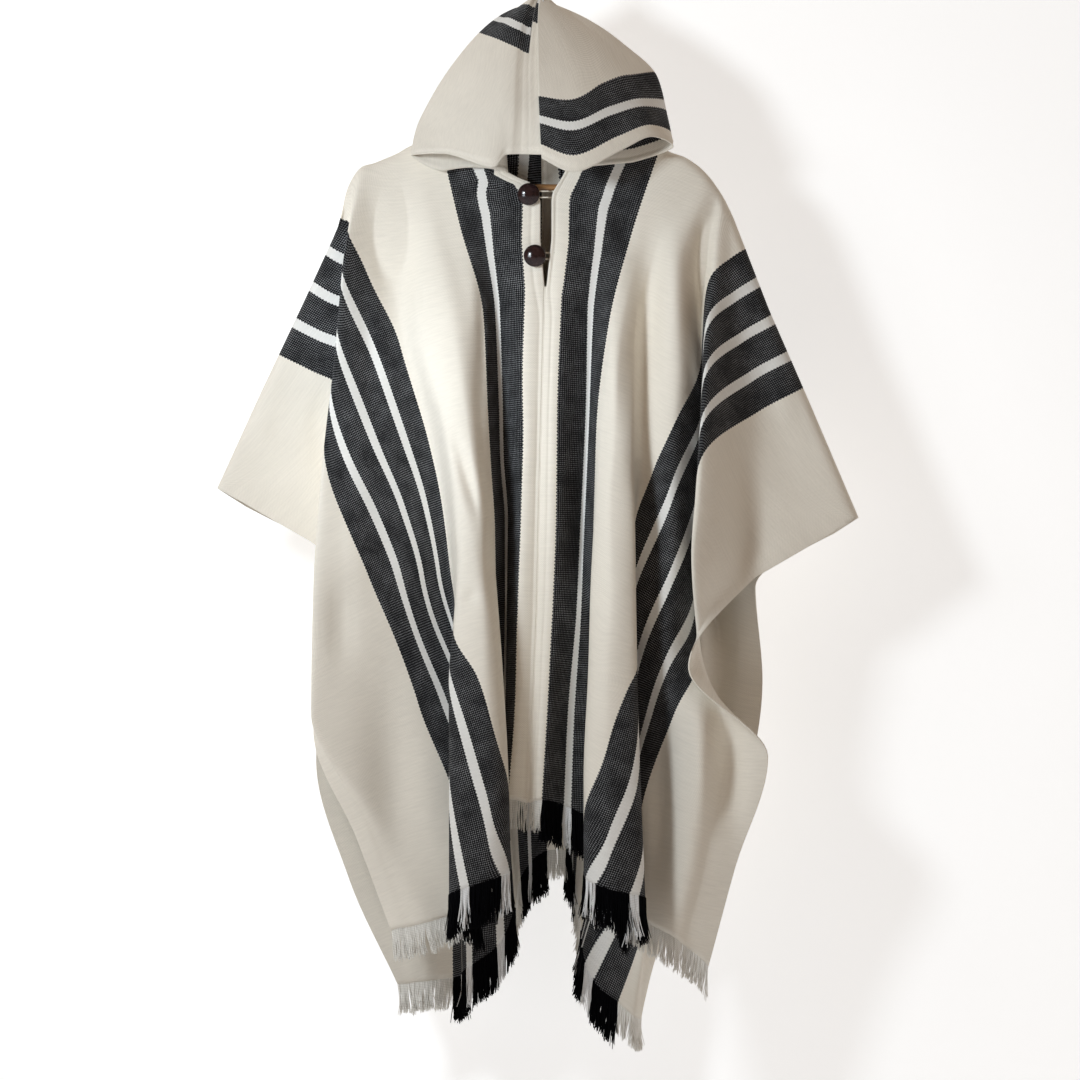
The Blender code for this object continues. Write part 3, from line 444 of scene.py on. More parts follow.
def width_sheets(half, inward):
    """Front and back sheets of one width as (across, drop, depth, cloth) arrays, in mm."""
    corner = half["corner"]
    levels = half["levels"]
    rows = fine_rows(corner)
    share = rows[:, None]
    folds = range(len(FOLDS))

    def over_folds(key):
        return smooth(folds, np.array(half[key], float), COLUMNS, FOLD_ROUND)[None, :]

    top = over_folds("top_drop")
    hem = over_folds("hem_drop")
    front_drop = top + share * (hem - top)
    table = np.array(half["across"], float)
    across = fill(levels, table, rows)
    # The outer edge runs straight to the wing's corner and straight back from it.
    wing_rows = rows < levels[levels.index(corner) + 1]
    miss = (np.interp(rows, levels, table[:, -1]) - across[:, -1]) * wing_rows
    across = across + miss[:, None] * np.clip(COLUMNS - 11, 0, 1)
    edge = seam_edge(across, front_drop, FRONT_SEAM, 1, half["neck_front"]) - inward * SEAM_GAP / 2
    front_across = pull_edge(across, edge)
    ahead = np.maximum(fill(levels, half["forward"], rows), 0)
    front_forward = pull_edge(ahead, seam_edge(ahead, front_drop, FRONT_SEAM, 2))
    in_width = fill(levels, half["cloth"], rows, 0)
    # The neck is cut across the warp, so there the edge lies further out in the cloth.
    cut = -inward * (edge - across[:, 0]) * np.clip((NECK_FOOT - front_drop[:, 0]) / NECK_RISE, 0, 1)
    beyond_hem = np.interp(COLUMNS, (0.95, 1.05, 1.5, 3), (0, 1, 1, 0))
    front_cloth = in_width + np.maximum(cut, 0)[:, None] * beyond_hem

    late = np.clip((rows - corner) / (1 - corner), 0, 1)[:, None]
    # The back's lines never cross, so a fold that overlaps itself in front is opened out.
    plain = table * inward
    for column in range(1, len(FOLDS)):
        plain[:, column] = np.minimum(plain[:, column], plain[:, column - 1] - LINES_APART)
    plain = fill(levels, plain * inward, rows)
    # The wing's last columns stay the front's own down to the corner, so the fold meets.
    outer = np.clip(COLUMNS - 10, 0, 1)[None, :] * (late <= 0)
    plain = plain * (1 - outer) + across * outer
    rear_drop = front_drop + late * (over_folds("back_drop") - hem)
    rear_across = (1 - late) * plain + late * over_folds("back_across")
    lean = half["back_lean"] * np.interp(rows, LEAN_ROWS, (0, 1, 0))
    rear_across = rear_across + lean[:, None] * np.interp(COLUMNS, (2, 4, 6, 9), (0, 1, 1, 0))
    swell = eased((rows - SWELL_START) / SWELL_RUN) * eased((1 - rows) / (1 - FADE_START))
    rear_depth = (BACK_SHARE * ahead * (1 - late) + late * over_folds("back_depth")
                  + swell[:, None] * over_folds("back_folds"))
    selvage = np.array(half["back_selvage"], float)
    follow = np.clip((COLUMNS - 8) / 4, 0, 1)
    free = np.clip((rows - corner) / 0.03, 0, 1)
    edges = smooth(selvage[:, 0], selvage[:, 1:], np.maximum(rows, selvage[0, 0]))
    rear_across = rear_across + ((edges[:, 0] - rear_across[:, -1]) * free)[:, None] * follow
    rear_drop = rear_drop + ((edges[:, 1] - rear_drop[:, -1]) * free)[:, None] * follow
    edge = seam_edge(rear_across, rear_drop, BACK_SEAM, 1, half["neck_back"]) - inward * SEAM_GAP / 2
    rear_across = pull_edge(rear_across, edge)
    rear_depth = pull_edge(rear_depth, seam_edge(rear_depth, rear_drop, BACK_SEAM, 2))
    rear_cloth = (1 - late) * in_width + late * smooth(folds, half["back_cloth"], COLUMNS)[None, :]
    if inward == 1:
        at_nape = eased((NAPE_END - front_drop[:, 0]) / NAPE_RUN)
        rear_cloth = rear_cloth + at_nape[:, None] * np.interp(COLUMNS, range(5), NAPE_SHIFT)

    folded = rows <= corner + 1e-9
    line = list(zip(front_across[0], front_drop[0]))
    line += list(zip(front_across[folded, -1], front_drop[folded, -1]))
    sheets = []
    for sign, flat, drop, deep, cloth, creases in (
            (-1, front_across, front_drop, front_forward, front_cloth, half["creases"]),
            (1, rear_across, rear_drop, rear_depth, rear_cloth, half["back_creases"])):
        away = from_boundary(flat, drop, line)
        round_off = ROLL * np.sqrt(1 - (1 - np.minimum(away / ROLL, 1)) ** 2)
        inner = np.clip(away / CREASE_CALM, 0, 1)
        deep = np.maximum(deep - creased(flat, drop, creases) * inner, np.minimum(deep, 1))
        # The turned edge beside the slit and the seam stands a little proud of a groove.
        turn_in = np.interp(drop, (SLIT_END, SLIT_END + 40), half["turned"])
        band = (np.exp(-(cloth / (0.8 * turn_in)) ** 6) * TURN_RISE
                - np.exp(-((cloth - turn_in) / 1.1) ** 2) * TURN_GROOVE)
        sheets.append((flat, drop, sign * (round_off + deep + band * inner), cloth))
    return sheets[0], sheets[1], int(folded.sum())


def gathered(down, over):
    """What every point gets from the steps down and across that meet at it."""
    total = np.zeros((down.shape[0] + 1, down.shape[1]))
    total[1:] += down
    total[:-1] -= down
    total[:, 1:] += over
    total[:, :-1] -= over
    return total


def along_warp(sheet):
    """Place along the warp at every point of a sheet, by least squares.

    The warp runs the way in which the place across the cloth stays the same.  Each step to
    a neighbour should add its own length along the warp, and conjugate gradients make the
    sum of the squared misses least.
    """
    flat, drop, deep, cloth = sheet
    points = np.stack([flat, deep, -drop], axis=-1)
    rise_down, rise_over = np.gradient(cloth)
    warp = unit(rise_over[..., None] * np.gradient(points, axis=0)
                - rise_down[..., None] * np.gradient(points, axis=1))
    step_down = np.sum(np.diff(points, axis=0) * (warp[1:] + warp[:-1]) / 2, axis=-1)
    step_over = np.sum(np.diff(points, axis=1) * (warp[:, 1:] + warp[:, :-1]) / 2, axis=-1)
    place = np.concatenate([np.zeros((1, flat.shape[1])), np.cumsum(step_down, axis=0)])
    miss = gathered(step_down - np.diff(place, axis=0), step_over - np.diff(place, axis=1))
    way = miss.copy()
    for _ in range(WARP_ROUNDS):
        size = np.sum(miss * miss)
        pull = gathered(np.diff(way, axis=0), np.diff(way, axis=1))
        share = size / max(np.sum(way * pull), 1e-12)
        place += share * way
        miss -= share * pull
        way = miss + np.sum(miss * miss) / max(size, 1e-12) * way
    return place - place[0, 0]


CORNERS = ((slice(None, -1), slice(None, -1)), (slice(None, -1), slice(1, None)),
           (slice(1, None), slice(1, None)), (slice(1, None), slice(None, -1)))


def by_corner(number, place, corners=CORNERS):
    """Point numbers and UVs at the four corners of every cell of a grid."""
    return (np.stack([number[corner] for corner in corners], axis=-1).reshape(-1, 4),
            np.stack([place[corner] for corner in corners], axis=-2).reshape(-1, 4, 2))


def ring_quads(rings, around):
    """Faces between rings of points, each ring closed on itself."""
    number = np.arange(rings * around).reshape(rings, around)
    after = np.roll(number, -1, axis=1)
    return np.stack([number[:-1], number[1:], after[1:], after[:-1]], axis=-1).reshape(-1, 4)


def link(name, points, faces, uv, look):
    """A smooth mesh object from point, face and per-corner UV arrays."""
    mesh = bpy.data.meshes.new(name)
    mesh.vertices.add(len(points))
    mesh.vertices.foreach_set("co", np.ascontiguousarray(points, np.float32).ravel())
    size = faces.shape[1]
    mesh.loops.add(faces.size)
    mesh.loops.foreach_set("vertex_index", faces.ravel().astype(np.int32))
    mesh.polygons.add(len(faces))
    mesh.polygons.foreach_set("loop_start", np.arange(0, faces.size, size, dtype=np.int32))
    mesh.polygons.foreach_set("use_smooth", np.ones(len(faces), bool))
    mesh.update(calc_edges=True)
    layer = mesh.uv_layers.new(name="weave")
    layer.data.foreach_set("uv", np.ascontiguousarray(uv, np.float32).ravel())
    mesh.validate()
    mesh.materials.append(look)
    piece = bpy.data.objects.new(name, mesh)
    bpy.context.scene.collection.objects.link(piece)
    return piece


def thicken(piece, thick):
    """Give a sheet a wall, half of it to each side."""
    wall = piece.modifiers.new("wall", "SOLIDIFY")
    wall.thickness = thick * MM
    wall.offset = 0
    wall.use_rim = True


def ramp(add, place, stops, key):
    """A stepped colour ramp: each stop is (place, colour)."""
    node = add("ShaderNodeValToRGB", {"Fac": place})
    node.color_ramp.interpolation = key
    while len(node.color_ramp.elements) > 1:
        node.color_ramp.elements.remove(node.color_ramp.elements[-1])
    node.color_ramp.elements[0].position = stops[0][0]
    node.color_ramp.elements[0].color = stops[0][1]
    for place_at, colour in stops[1:]:
        node.color_ramp.elements.new(place_at).color = colour
    return node.outputs["Color"]


CREAM = (0.87, 0.815, 0.72, 1)
WHITE = (0.84, 0.83, 0.80, 1)
BLACK = (0.0, 0.0, 0.0, 1)
MARK = (1, 1, 1, 1)
# Stripes across the loom width, in mm from the centre edge: (start, kind).
STRIPES = ((0, "cream"), (18, "dark"), (57, "white"), (70, "dark"), (109, "cream"), (294, "dark"),
           (333, "white"), (346, "dark"), (385, "white"), (398, "dark"), (437, "white"),
           (450, "dark"), (489, "cream"))


STEP = 2.25  # a stripe's edge steps out over this much warp, and then in,
STEP_OUT = 0.62  # by this share of it
DIAGONAL = 5.4  # from one bird's-eye diagonal to the next
RIB = 2.1  # from one warp rib to the next
PICK = 2.6  # and from one weft to the next


def woven(name, stripes, width):
    """Warp-striped cloth: cream and white plain weave, charcoal bird's-eye with grey wefts.

    UV is (place across the cloth, place along the warp) in metres.  Stripe edges step in
    and out with the weft, and the charcoal bands carry light flecks on crossed diagonals.
    """
    paint, add, maths, noise, mix, finish = nodes_of(name)
    uv = add("ShaderNodeUVMap", uv_map="weave").outputs[0]
    split = add("ShaderNodeSeparateXYZ", {0: uv})
    across = maths("MULTIPLY", split.outputs[0], 1000.0)
    along = maths("MULTIPLY", split.outputs[1], 1000.0)
    tooth = maths("SUBTRACT", maths("PINGPONG", along, STEP), STEP / 2)
    place = maths("DIVIDE", maths("ADD", across, maths("MULTIPLY", tooth, STEP_OUT)), width)
    colours = {"cream": CREAM, "white": WHITE, "dark": BLACK}
    light = ramp(add, place, [(start / width, colours[kind]) for start, kind in stripes], "CONSTANT")
    dark = ramp(add, place, [(start / width, MARK if kind == "dark" else BLACK)
                             for start, kind in stripes], "CONSTANT")
    # bird's-eye flecks: two crossed diagonals, broken up by uneven yarn
    turn = 2 * math.pi / DIAGONAL
    drift = maths("MULTIPLY", noise(uv, 330.0, 2.0), 2.2)
    one, two = (maths("SINE", maths("ADD", maths("MULTIPLY", maths(way, across, along), turn), drift))
                for way in ("ADD", "SUBTRACT"))
    eye = add("ShaderNodeMapRange", {0: maths("MULTIPLY", one, two), 1: 0.10, 2: 0.55, 3: 0.0, 4: 1.0})
    patch = noise(uv, 26.0, 4.0, Roughness=0.65)
    slub = noise(add("ShaderNodeMapping", {0: uv, 3: (30.0, 420.0, 1.0)}).outputs[0], 1.0, 2.0)
    thin = add("ShaderNodeMapRange", {0: patch, 1: 0.36, 2: 0.66, 3: 0.35, 4: 1.0})
    fleck = maths("MULTIPLY", eye.outputs[0], thin.outputs[0])
    charcoal = mix(fleck, (0.003, 0.003, 0.004, 1), (0.27, 0.275, 0.285, 1))
    # plain weave: a fine rib along the warp, crossed by slubs of the weft
    weave = maths("MULTIPLY", maths("SINE", maths("MULTIPLY", across, 2 * math.pi / RIB)),
                  maths("SINE", maths("MULTIPLY", along, 2 * math.pi / PICK)))
    shade = maths("ADD", maths("MULTIPLY", weave, 0.055),
                  maths("ADD", maths("MULTIPLY", maths("SUBTRACT", slub, 0.5), 0.16), 1.0))
    mottle = maths("SUBTRACT", noise(uv, 9.0, 3.0), 0.5)
    shade = maths("ADD", shade, maths("MULTIPLY", mottle, 0.10))
    colour = mix(dark, mix(1.0, light, shade, "MULTIPLY"), charcoal)
    height = maths("ADD", maths("MULTIPLY", weave, 0.5), maths("MULTIPLY", slub, 0.8))
    bump = add("ShaderNodeBump", {"Height": height, "Strength": 0.5, "Distance": 0.0007})
    finish({"Base Color": colour, "Normal": bump.outputs[0], "Roughness": 0.92,
            "Sheen Weight": 0.05, "Sheen Roughness": 0.5, "Specular IOR Level": 0.15})
    return paint


def width_piece(name, half, inward, look):
    """Both sheets of one width as one mesh, joined over the shoulder and along the wing."""
    front, rear, folded = width_sheets(half, inward)
    height, breadth = front[0].shape
    number = np.arange(height * breadth).reshape(height, breadth)
    other = number + height * breadth
    other[0] = number[0]
    other[:folded, -1] = number[:folded, -1]
    points = []
    faces = []
    uv = []
    for sheet, index, sign in ((front, number, 1), (rear, other, -1)):
        flat, drop, deep, cloth = sheet
        points.append(np.stack([flat, deep, -drop], axis=-1).reshape(-1, 3) * MM)
        place = np.stack([cloth, sign * along_warp(sheet)], axis=-1) * MM
        quads, places = by_corner(index, place, CORNERS[::-1] if sign != inward else CORNERS)
        faces.append(quads)
        uv.append(places)
    points = np.concatenate(points)
    faces = np.concatenate(faces)
    used, faces = np.unique(faces, return_inverse=True)
    piece = link(name, points[used], faces.reshape(-1, 4), np.concatenate(uv), look)
    thicken(piece, WALL)
    return piece, front, rear


loom_cloth = woven("loom_cloth", STRIPES, LOOM_WIDTH)
widths = {}
for side, half, inward in (("left", LEFT, 1), ("right", RIGHT, -1)):
    piece, front, rear = width_piece("width_" + side, half, inward, loom_cloth)
    widths[side] = (piece, front, rear)
    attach(piece, "root")
    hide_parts("cloth_" + side)


# ---- Centre seams ----
# The two widths meet edge to edge and are whipped together with cream wool, down the
# front from the foot of the slit and down the whole back.
SEAM_HALF = 2.1  # half of the bead's width
SEAM_RISE = 1.5
STITCH = 3.2
STITCH_RINGS = 5
SEAM_SIDES = 10
SEAM_FIRST = {"front": 438, "back": 258}  # drop where each bead starts


def seam_bead(name, one, other, first, look):
    """A bead along the meeting edges: an oval section whose size swells at every stitch."""
    drops = np.arange(first, min(one[1][-1, 0], other[1][-1, 0]) - 1, STITCH / STITCH_RINGS)
    middle = [np.interp(drops, sheet[1][:, 0], sheet[part][:, 0])
              for part in (0, 2) for sheet in (one, other)]
    path = np.stack([(middle[0] + middle[1]) / 2, (middle[2] + middle[3]) / 2, -drops], axis=-1)
    swell = 0.86 + 0.14 * np.cos(drops * 2 * math.pi / STITCH)
    turn = np.arange(SEAM_SIDES) * 2 * math.pi / SEAM_SIDES
    ring = np.stack([SEAM_HALF * np.cos(turn), SEAM_RISE * np.sin(turn), 0.5 * np.cos(turn)], axis=-1)
    points = path[:, None] + swell[:, None, None] * ring[None]
    quads = ring_quads(len(drops), SEAM_SIDES)
    down = np.repeat(drops, SEAM_SIDES)
    place = np.stack([np.zeros(len(down)), down], axis=-1) * MM
    return link(name, points.reshape(-1, 3) * MM, quads, place[quads], look)


for turn, place in enumerate(("front", "back")):
    bead = seam_bead("seam_" + place, widths["left"][1 + turn], widths["right"][1 + turn],
                     SEAM_FIRST[place], loom_cloth)
    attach(bead, "root")


# ---- Hood ----
# Two halves of the same cloth, cut so that the stripes lie along the face edge on one
# side and along the back seam on the other, joined over the crown with a stitched tuck.
HOOD_ROWS = (0, 0.25, 0.5, 0.75, 0.9, 1)  # places from the face edge to the back seam
HOOD_WALL = 1.6
HOOD_GAP = 1.3
LAP = 3.0  # how far the hood laps over the neck's edge
NECK_FRONT = 291  # drop of the hood's front corners
NAPE = 253  # and of its back seam's foot
HOOD_DEEP = 250.0  # crown seam from the face to the back
# Nets from neck to crown along, one row for each place above.  lip: how far the lower lip
# rises behind the face; tuck and lap: height of the tuck by the crown and its reach over it.
HOOD_LEFT = {
    "lip": 6, "tuck": 4.2, "lap": 5.5,
    "across": ((-42, -126, -169, -127, -64, -43, 0), (-45, -112, -162, -116, -70, -40, -3),
               (-47, -100, -142, -105, -69, -38, -5), (-33, -73, -101, -77, -53, -30, -5),
               (-15, -34, -51, -38, -27, -17, -4), (-1, -1, -2, -4, -5, -5, -5)),
    "drop": ((288, 288, 268, 266, 285, 268, 268), (258, 234, 234, 231, 226, 214, 211),
             (222, 205, 192, 182, 172, 161, 156), (232, 180, 133, 122, 114, 108, 104),
             (243, 172, 88, 81, 75, 72, 70), (252, 176, 73, 62, 57, 56, 57)),
    "depth": ((-16, -26, -34, -70, -92, -88, -96), (-15, -28, -16, -62, -84, -90, -92),
              (0, 14, -4, -48, -68, -76, -78), (12, 30, 6, -26, -42, -50, -52),
              (16, 36, 8, -8, -18, -24, -26), (20, 38, 14, 8, 3, -2, -8)),
}
HOOD_RIGHT = {
    "lip": 2, "tuck": 0, "lap": 0,
    "across": ((27, 118, 172, 144, 103, 44, 0), (45, 122, 164, 135, 92, 44, -3),
               (61, 113, 151, 116, 77, 38, -5), (41, 77, 103, 77, 48, 22, -5),
               (19, 40, 51, 35, 22, 9, -3), (1, 1, 2, 4, 5, 5, 5)),
    "drop": ((292, 277, 257, 244, 263, 291, 273), (258, 238, 218, 211, 218, 224, 211),
             (224, 202, 166, 169, 169, 166, 156), (234, 178, 120, 117, 113, 109, 104),
             (245, 172, 88, 83, 77, 73, 70), (252, 176, 73, 62, 57, 56, 57)),
    "depth": ((-16, -28, -34, -66, -84, -98, -96), (-15, -28, -16, -60, -82, -94, -92),
              (0, 14, -4, -46, -66, -76, -78), (12, 30, 6, -26, -42, -50, -52),
              (16, 36, 8, -8, -18, -24, -26), (20, 38, 14, 8, 3, -2, -8)),
}
HOOD_SPAN = 300.0  # cloth that the hood's stripes are laid over
HOOD_STRIPES = ((0, "cream"), (21, "dark"), (52, "white"), (64, "dark"), (96, "cream"))
PLEAT = 5.6  # the tuck beside the crown seam starts here, as a place in the net
TUCK_WIDE = 12.5  # half of its width, its middle this far from the crown seam:
TUCK_MIDDLE = 11
TUCK_RIB = 5.5  # from one of its ribs to the next
FACE_HEM = 1.3  # height of the rolled hem round the face,
FACE_GROOVE = 0.6  # and depth of the groove behind it
TUCK_SHIFT = (42, -8)  # place of the left stripes on the tuck, and beside it
# Breadth of the right half's stripes from neck to crown, as shares.
RIGHT_WIDTHS = (0.72, 0.72, 0.73, 0.82, 1.05, 1.16)


def neck_line(front, rear):
    """The neck edge from the front corner over the shoulder to the nape, moved out by LAP."""
    fore = front[1][:, 0] <= NECK_FRONT
    aft = np.arange(len(rear[1])) <= np.searchsorted(rear[1][:, 0], NAPE)
    line = np.concatenate([np.stack([part[fore, 0] for part in front[:3]], axis=-1)[::-1],
                           np.stack([part[aft, 0] for part in rear[:3]], axis=-1)[1:]])
    top = int(fore.sum()) - 1
    up = np.clip(ROLL - (line[:, 1] - line[:, 1].min()), 0, ROLL)
    away = np.maximum(np.hypot(up, line[:, 2]), 1e-6)
    line[:, 1] -= LAP * up / away
    line[:, 2] += LAP * line[:, 2] / away
    length = run_along(line)
    share = np.where(np.arange(len(line)) <= top, 0.5 * length / length[top],
                     0.5 + 0.5 * (length - length[top]) / (length[-1] - length[top]))
    return share, line


def hood_piece(name, nets, left, front, rear, look):
    """One half: rows run from the face edge to the back seam, columns from neck to crown."""
    rows = np.concatenate([np.linspace(0, 0.42, 30)[:-1], np.linspace(0.42, 0.58, 16),
                           np.linspace(0.58, 1, 30)[1:]])
    steps = np.sort(np.concatenate([np.linspace(0, 6, 97), (PLEAT - 0.02, PLEAT + 0.02)]))
    grids = [smooth(range(7), smooth(HOOD_ROWS, nets[key], rows).T, steps, 0.35).T
             for key in ("across", "drop", "depth")]
    grids[0][:, -1] += -HOOD_GAP / 2 if left else HOOD_GAP / 2
    share, line = neck_line(front, rear)
    follow = np.clip(1 - steps, 0, 1)
    # Behind the face the lower lip rises to meet the upper one, which closes the mouth of
    # the fold at the side.
    lifted = np.clip(1 - rows / 0.2, 0, 1)[:, None] * np.sin(math.pi * np.clip(steps, 0, 1))[None, :]
    grids[1] -= nets["lip"] * lifted
    for grid, part in zip(grids, line.T):
        grid += (np.interp(rows, share, part) - grid[:, 0])[:, None] * follow
    points = np.stack([grids[0], grids[2], -grids[1]], axis=-1)
    normal = unit(np.cross(np.gradient(points, axis=1), np.gradient(points, axis=0)))
    if left:
        normal = -normal
    # A rolled hem round the face and a tuck beside the crown seam stand proud.
    deep = rows[:, None] * HOOD_DEEP
    from_crown = run_along(points[:, ::-1].transpose(1, 0, 2)).mean(axis=1)[::-1][None, :]
    hem = (FACE_HEM * np.exp(-((deep - 4) / 4.5) ** 4)
           - FACE_GROOVE * np.exp(-((deep - 10.5) / 1.4) ** 2))
    # The tuck is a flat fold with fine ribs, and it laps over the other half a little.
    tuck = nets["tuck"] * np.exp(-((from_crown - TUCK_MIDDLE) / TUCK_WIDE) ** 6)
    ribs = 0.35 * np.sin(from_crown * 2 * math.pi / TUCK_RIB) * (tuck > 1)
    points = points + normal * (hem + tuck + ribs)[..., None]
    points[..., 0] += (nets["lap"] * np.clip(steps - 5, 0, 1) ** 2)[None, :]
    # Stripes narrow towards the outline; they start at the face or, on the left, at the
    # back, where they run on a slant and the tuck shifts them.
    if left:
        off = np.clip(np.abs(steps - 6) / 4, 0, 1)[None, :]
        shifted = np.where(steps > PLEAT, *TUCK_SHIFT)[None, :]
        cloth = (HOOD_DEEP - deep + shifted) * (1 + 1.67 * off ** 1.4)
    else:
        cloth = deep * smooth((0, 2, 3, 4, 5, 6), RIGHT_WIDTHS, steps)[None, :]
    warp = run_along(points.transpose(1, 0, 2)).T
    number = np.arange(len(rows) * len(steps)).reshape(len(rows), len(steps))
    faces, uv = by_corner(number, np.stack([cloth, warp], axis=-1) * MM)
    piece = link(name, points.reshape(-1, 3) * MM, faces, uv, look)
    thicken(piece, HOOD_WALL)
    return piece


hood_cloth = woven("hood_cloth", HOOD_STRIPES, HOOD_SPAN)
for side, nets in (("left", HOOD_LEFT), ("right", HOOD_RIGHT)):
    piece = hood_piece("hood_" + side + "_cloth", nets, side == "left", widths[side][1],
                       widths[side][2], hood_cloth)
    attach(piece, "root")
    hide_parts("hood_" + side)


# ---- Fringe ----
# The warp ends left loose below the last weft, black from the charcoal bands and white
# from the rest.  The black ends hang thick as a curtain, those of the white stripes nearly
# as long, the cream ones shorter and in tufts.  Each yarn wavers and curls a little.
FRINGE_LENGTH = 51.0
DARK_LONG = 1.12  # lengths by kind, as shares of that
WHITE_LONG = 1.02
CREAM_LONG = 0.80
YARN = 0.56  # radius
YARN_PITCH = 0.56  # from one yarn to the next, across the cloth
YARN_SIDES = 4
DARK_TWIN = 0.2  # each black yarn has a second one this far from it,
DARK_THICK = 1.2  # both thicker,
DARK_LOOSE = 1.6  # their roots further out of line
DARK_WAVE = 1.4  # and wavier by these factors
BUNCH = 12  # yarns in a tuft
PLUMB = 1.6  # how much more the fringe falls straight down than as the cloth does
STRAY = (0.25, 0.8)  # how much yarns spread: in the thick curtain, and in tufts,
GATHER = (-0.001, -0.009)  # and how much they close up again
ROOTED = 0.6  # how deep a yarn starts inside the hem
YARN_POINTS = 9
TAPER = 0.35  # share of its thickness that a yarn loses towards its end


def tubes(paths, radius, sides):
    """Round yarns along many paths at once: points (yarn, step, side, xyz) and quads.

    A ring at each step lies square to the path; radius may taper along it.
    """
    heading = unit(np.gradient(paths, axis=1))
    aside = unit(np.cross(heading, (0.0, 1.0, 0.0)))
    fore = np.cross(aside, heading)
    turn = np.arange(sides) * 2 * math.pi / sides
    ring = (aside[:, :, None] * np.cos(turn)[None, None, :, None]
            + fore[:, :, None] * np.sin(turn)[None, None, :, None])
    points = paths[:, :, None] + ring * radius[:, :, None, None]
    count, steps = paths.shape[:2]
    number = np.arange(count * steps * sides).reshape(count, steps, sides)
    after = np.roll(number, -1, axis=2)
    quads = np.stack([number[:, :-1], after[:, :-1], after[:, 1:], number[:, 1:]], axis=-1)
    return points.reshape(-1, 3), quads.reshape(-1, 4)


def fringe_paint():
    """Loose warp yarn: black or white by the stripe that it leaves, with a twist in it."""
    paint, add, maths, _, mix, finish = nodes_of("fringe_yarn")
    uv = add("ShaderNodeUVMap", uv_map="weave").outputs[0]
    split = add("ShaderNodeSeparateXYZ", {0: uv})
    place = maths("DIVIDE", split.outputs[0], LOOM_WIDTH * MM)
    colours = {"cream": (0.93, 0.91, 0.86, 1), "white": (0.93, 0.93, 0.93, 1),
               "dark": (0.002, 0.002, 0.003, 1)}
    base = ramp(add, place, [(start / LOOM_WIDTH, colours[kind]) for start, kind in STRIPES], "CONSTANT")
    twist = maths("SINE", maths("MULTIPLY", split.outputs[1], 2 * math.pi / 0.0022))
    shade = maths("ADD", maths("MULTIPLY", twist, 0.10), 0.93)
    finish({"Base Color": mix(1.0, base, shade, "MULTIPLY"), "Roughness": 0.85,
            "Specular IOR Level": 0.04})
    return paint


def stripe_at(places):
    """The kind of stripe that each yarn comes out of."""
    starts = [start for start, kind in STRIPES]
    kinds = np.array([kind for start, kind in STRIPES])
    return kinds[np.searchsorted(starts, places, side="right") - 1]


def fringe_piece(name, sheet, seed, look):
    """Yarns hung from the last row of one sheet, evenly spaced across the cloth."""
    chance = np.random.default_rng(seed)
    flat, drop, deep, cloth = sheet
    places = np.arange(0.5, LOOM_WIDTH - 0.5, YARN_PITCH)
    places = places + chance.uniform(-0.3, 0.3, len(places))
    places = np.sort(np.concatenate([places, places[stripe_at(places) == "dark"] + DARK_TWIN]))
    count = len(places)
    root, upper = (np.stack([np.interp(places, cloth[-1], part)
                             for part in (flat[row], deep[row], -drop[row])], axis=-1) for row in (-1, -3))
    fall = unit(unit(root - upper) - np.array([0, 0, PLUMB]))
    side = unit(np.gradient(root, axis=0))
    out = unit(np.cross(side, fall))
    kinds = stripe_at(places)
    dark = kinds == "dark"
    bunch = np.arange(count) // BUNCH
    bunches = bunch.max() + 1
    thick = dark | (places < STRIPES[1][0])
    stray = np.where(thick, *STRAY)
    lean = stray * chance.normal(0, 0.07, bunches)[bunch] + chance.normal(0, 0.045, count)
    swing = stray * chance.normal(0, 0.06, bunches)[bunch] + chance.normal(0, 0.06, count)
    gather = (np.arange(count) % BUNCH - (BUNCH - 1) / 2) * np.where(thick, *GATHER)
    tuft = chance.uniform(-0.10, 0.06, bunches)[bunch]
    long = FRINGE_LENGTH * np.select([dark, kinds == "white"], [DARK_LONG, WHITE_LONG], CREAM_LONG)
    long = long * (0.96 + tuft + chance.uniform(-0.10, 0.07, count))
    phase = chance.uniform(0, 2 * math.pi, (2, count))[..., None]
    wave = (chance.uniform(0.3, 1.3, count) * np.where(dark, DARK_WAVE, 1.0))[:, None]
    share = np.linspace(0, 1, YARN_POINTS)[None, :]
    reach = long[:, None] * share
    root = root + out * (np.where(dark, DARK_LOOSE, 1.0) * chance.uniform(-1, 1, count))[:, None]
    paths = root[:, None] + fall[:, None] * (reach - ROOTED)[..., None]
    aside = ((lean + gather)[:, None] * reach * (0.4 + 0.6 * share)
             + wave * share * np.sin(5 * share + phase[0]))
    ahead = swing[:, None] * reach * share + wave * share * np.cos(4 * share + phase[1])
    paths = paths + side[:, None] * aside[..., None] + out[:, None] * ahead[..., None]
    radius = YARN * np.where(dark, DARK_THICK, 1.0)[:, None] * (1 - TAPER * share ** 3)
    points, quads = tubes(paths, radius, YARN_SIDES)
    place = np.stack(np.broadcast_arrays(places[:, None], reach), axis=-1).reshape(-1, 2) * MM
    place = np.repeat(place, YARN_SIDES, axis=0)
    piece = link(name, points * MM, quads, place[quads].reshape(-1, 4, 2), look)
    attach(piece, "root")
    return piece


yarn = fringe_paint()
fringes = {"left": [], "right": []}
for seed, side in enumerate(("left", "right")):
    for turn, place in enumerate(("front", "back")):
        piece = fringe_piece(f"fringe_{place}_{side}_yarn", widths[side][1 + turn], 7 * seed + turn + 3, yarn)
        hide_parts(f"fringe_{place}_{side}")
        fringes[side].append(piece)


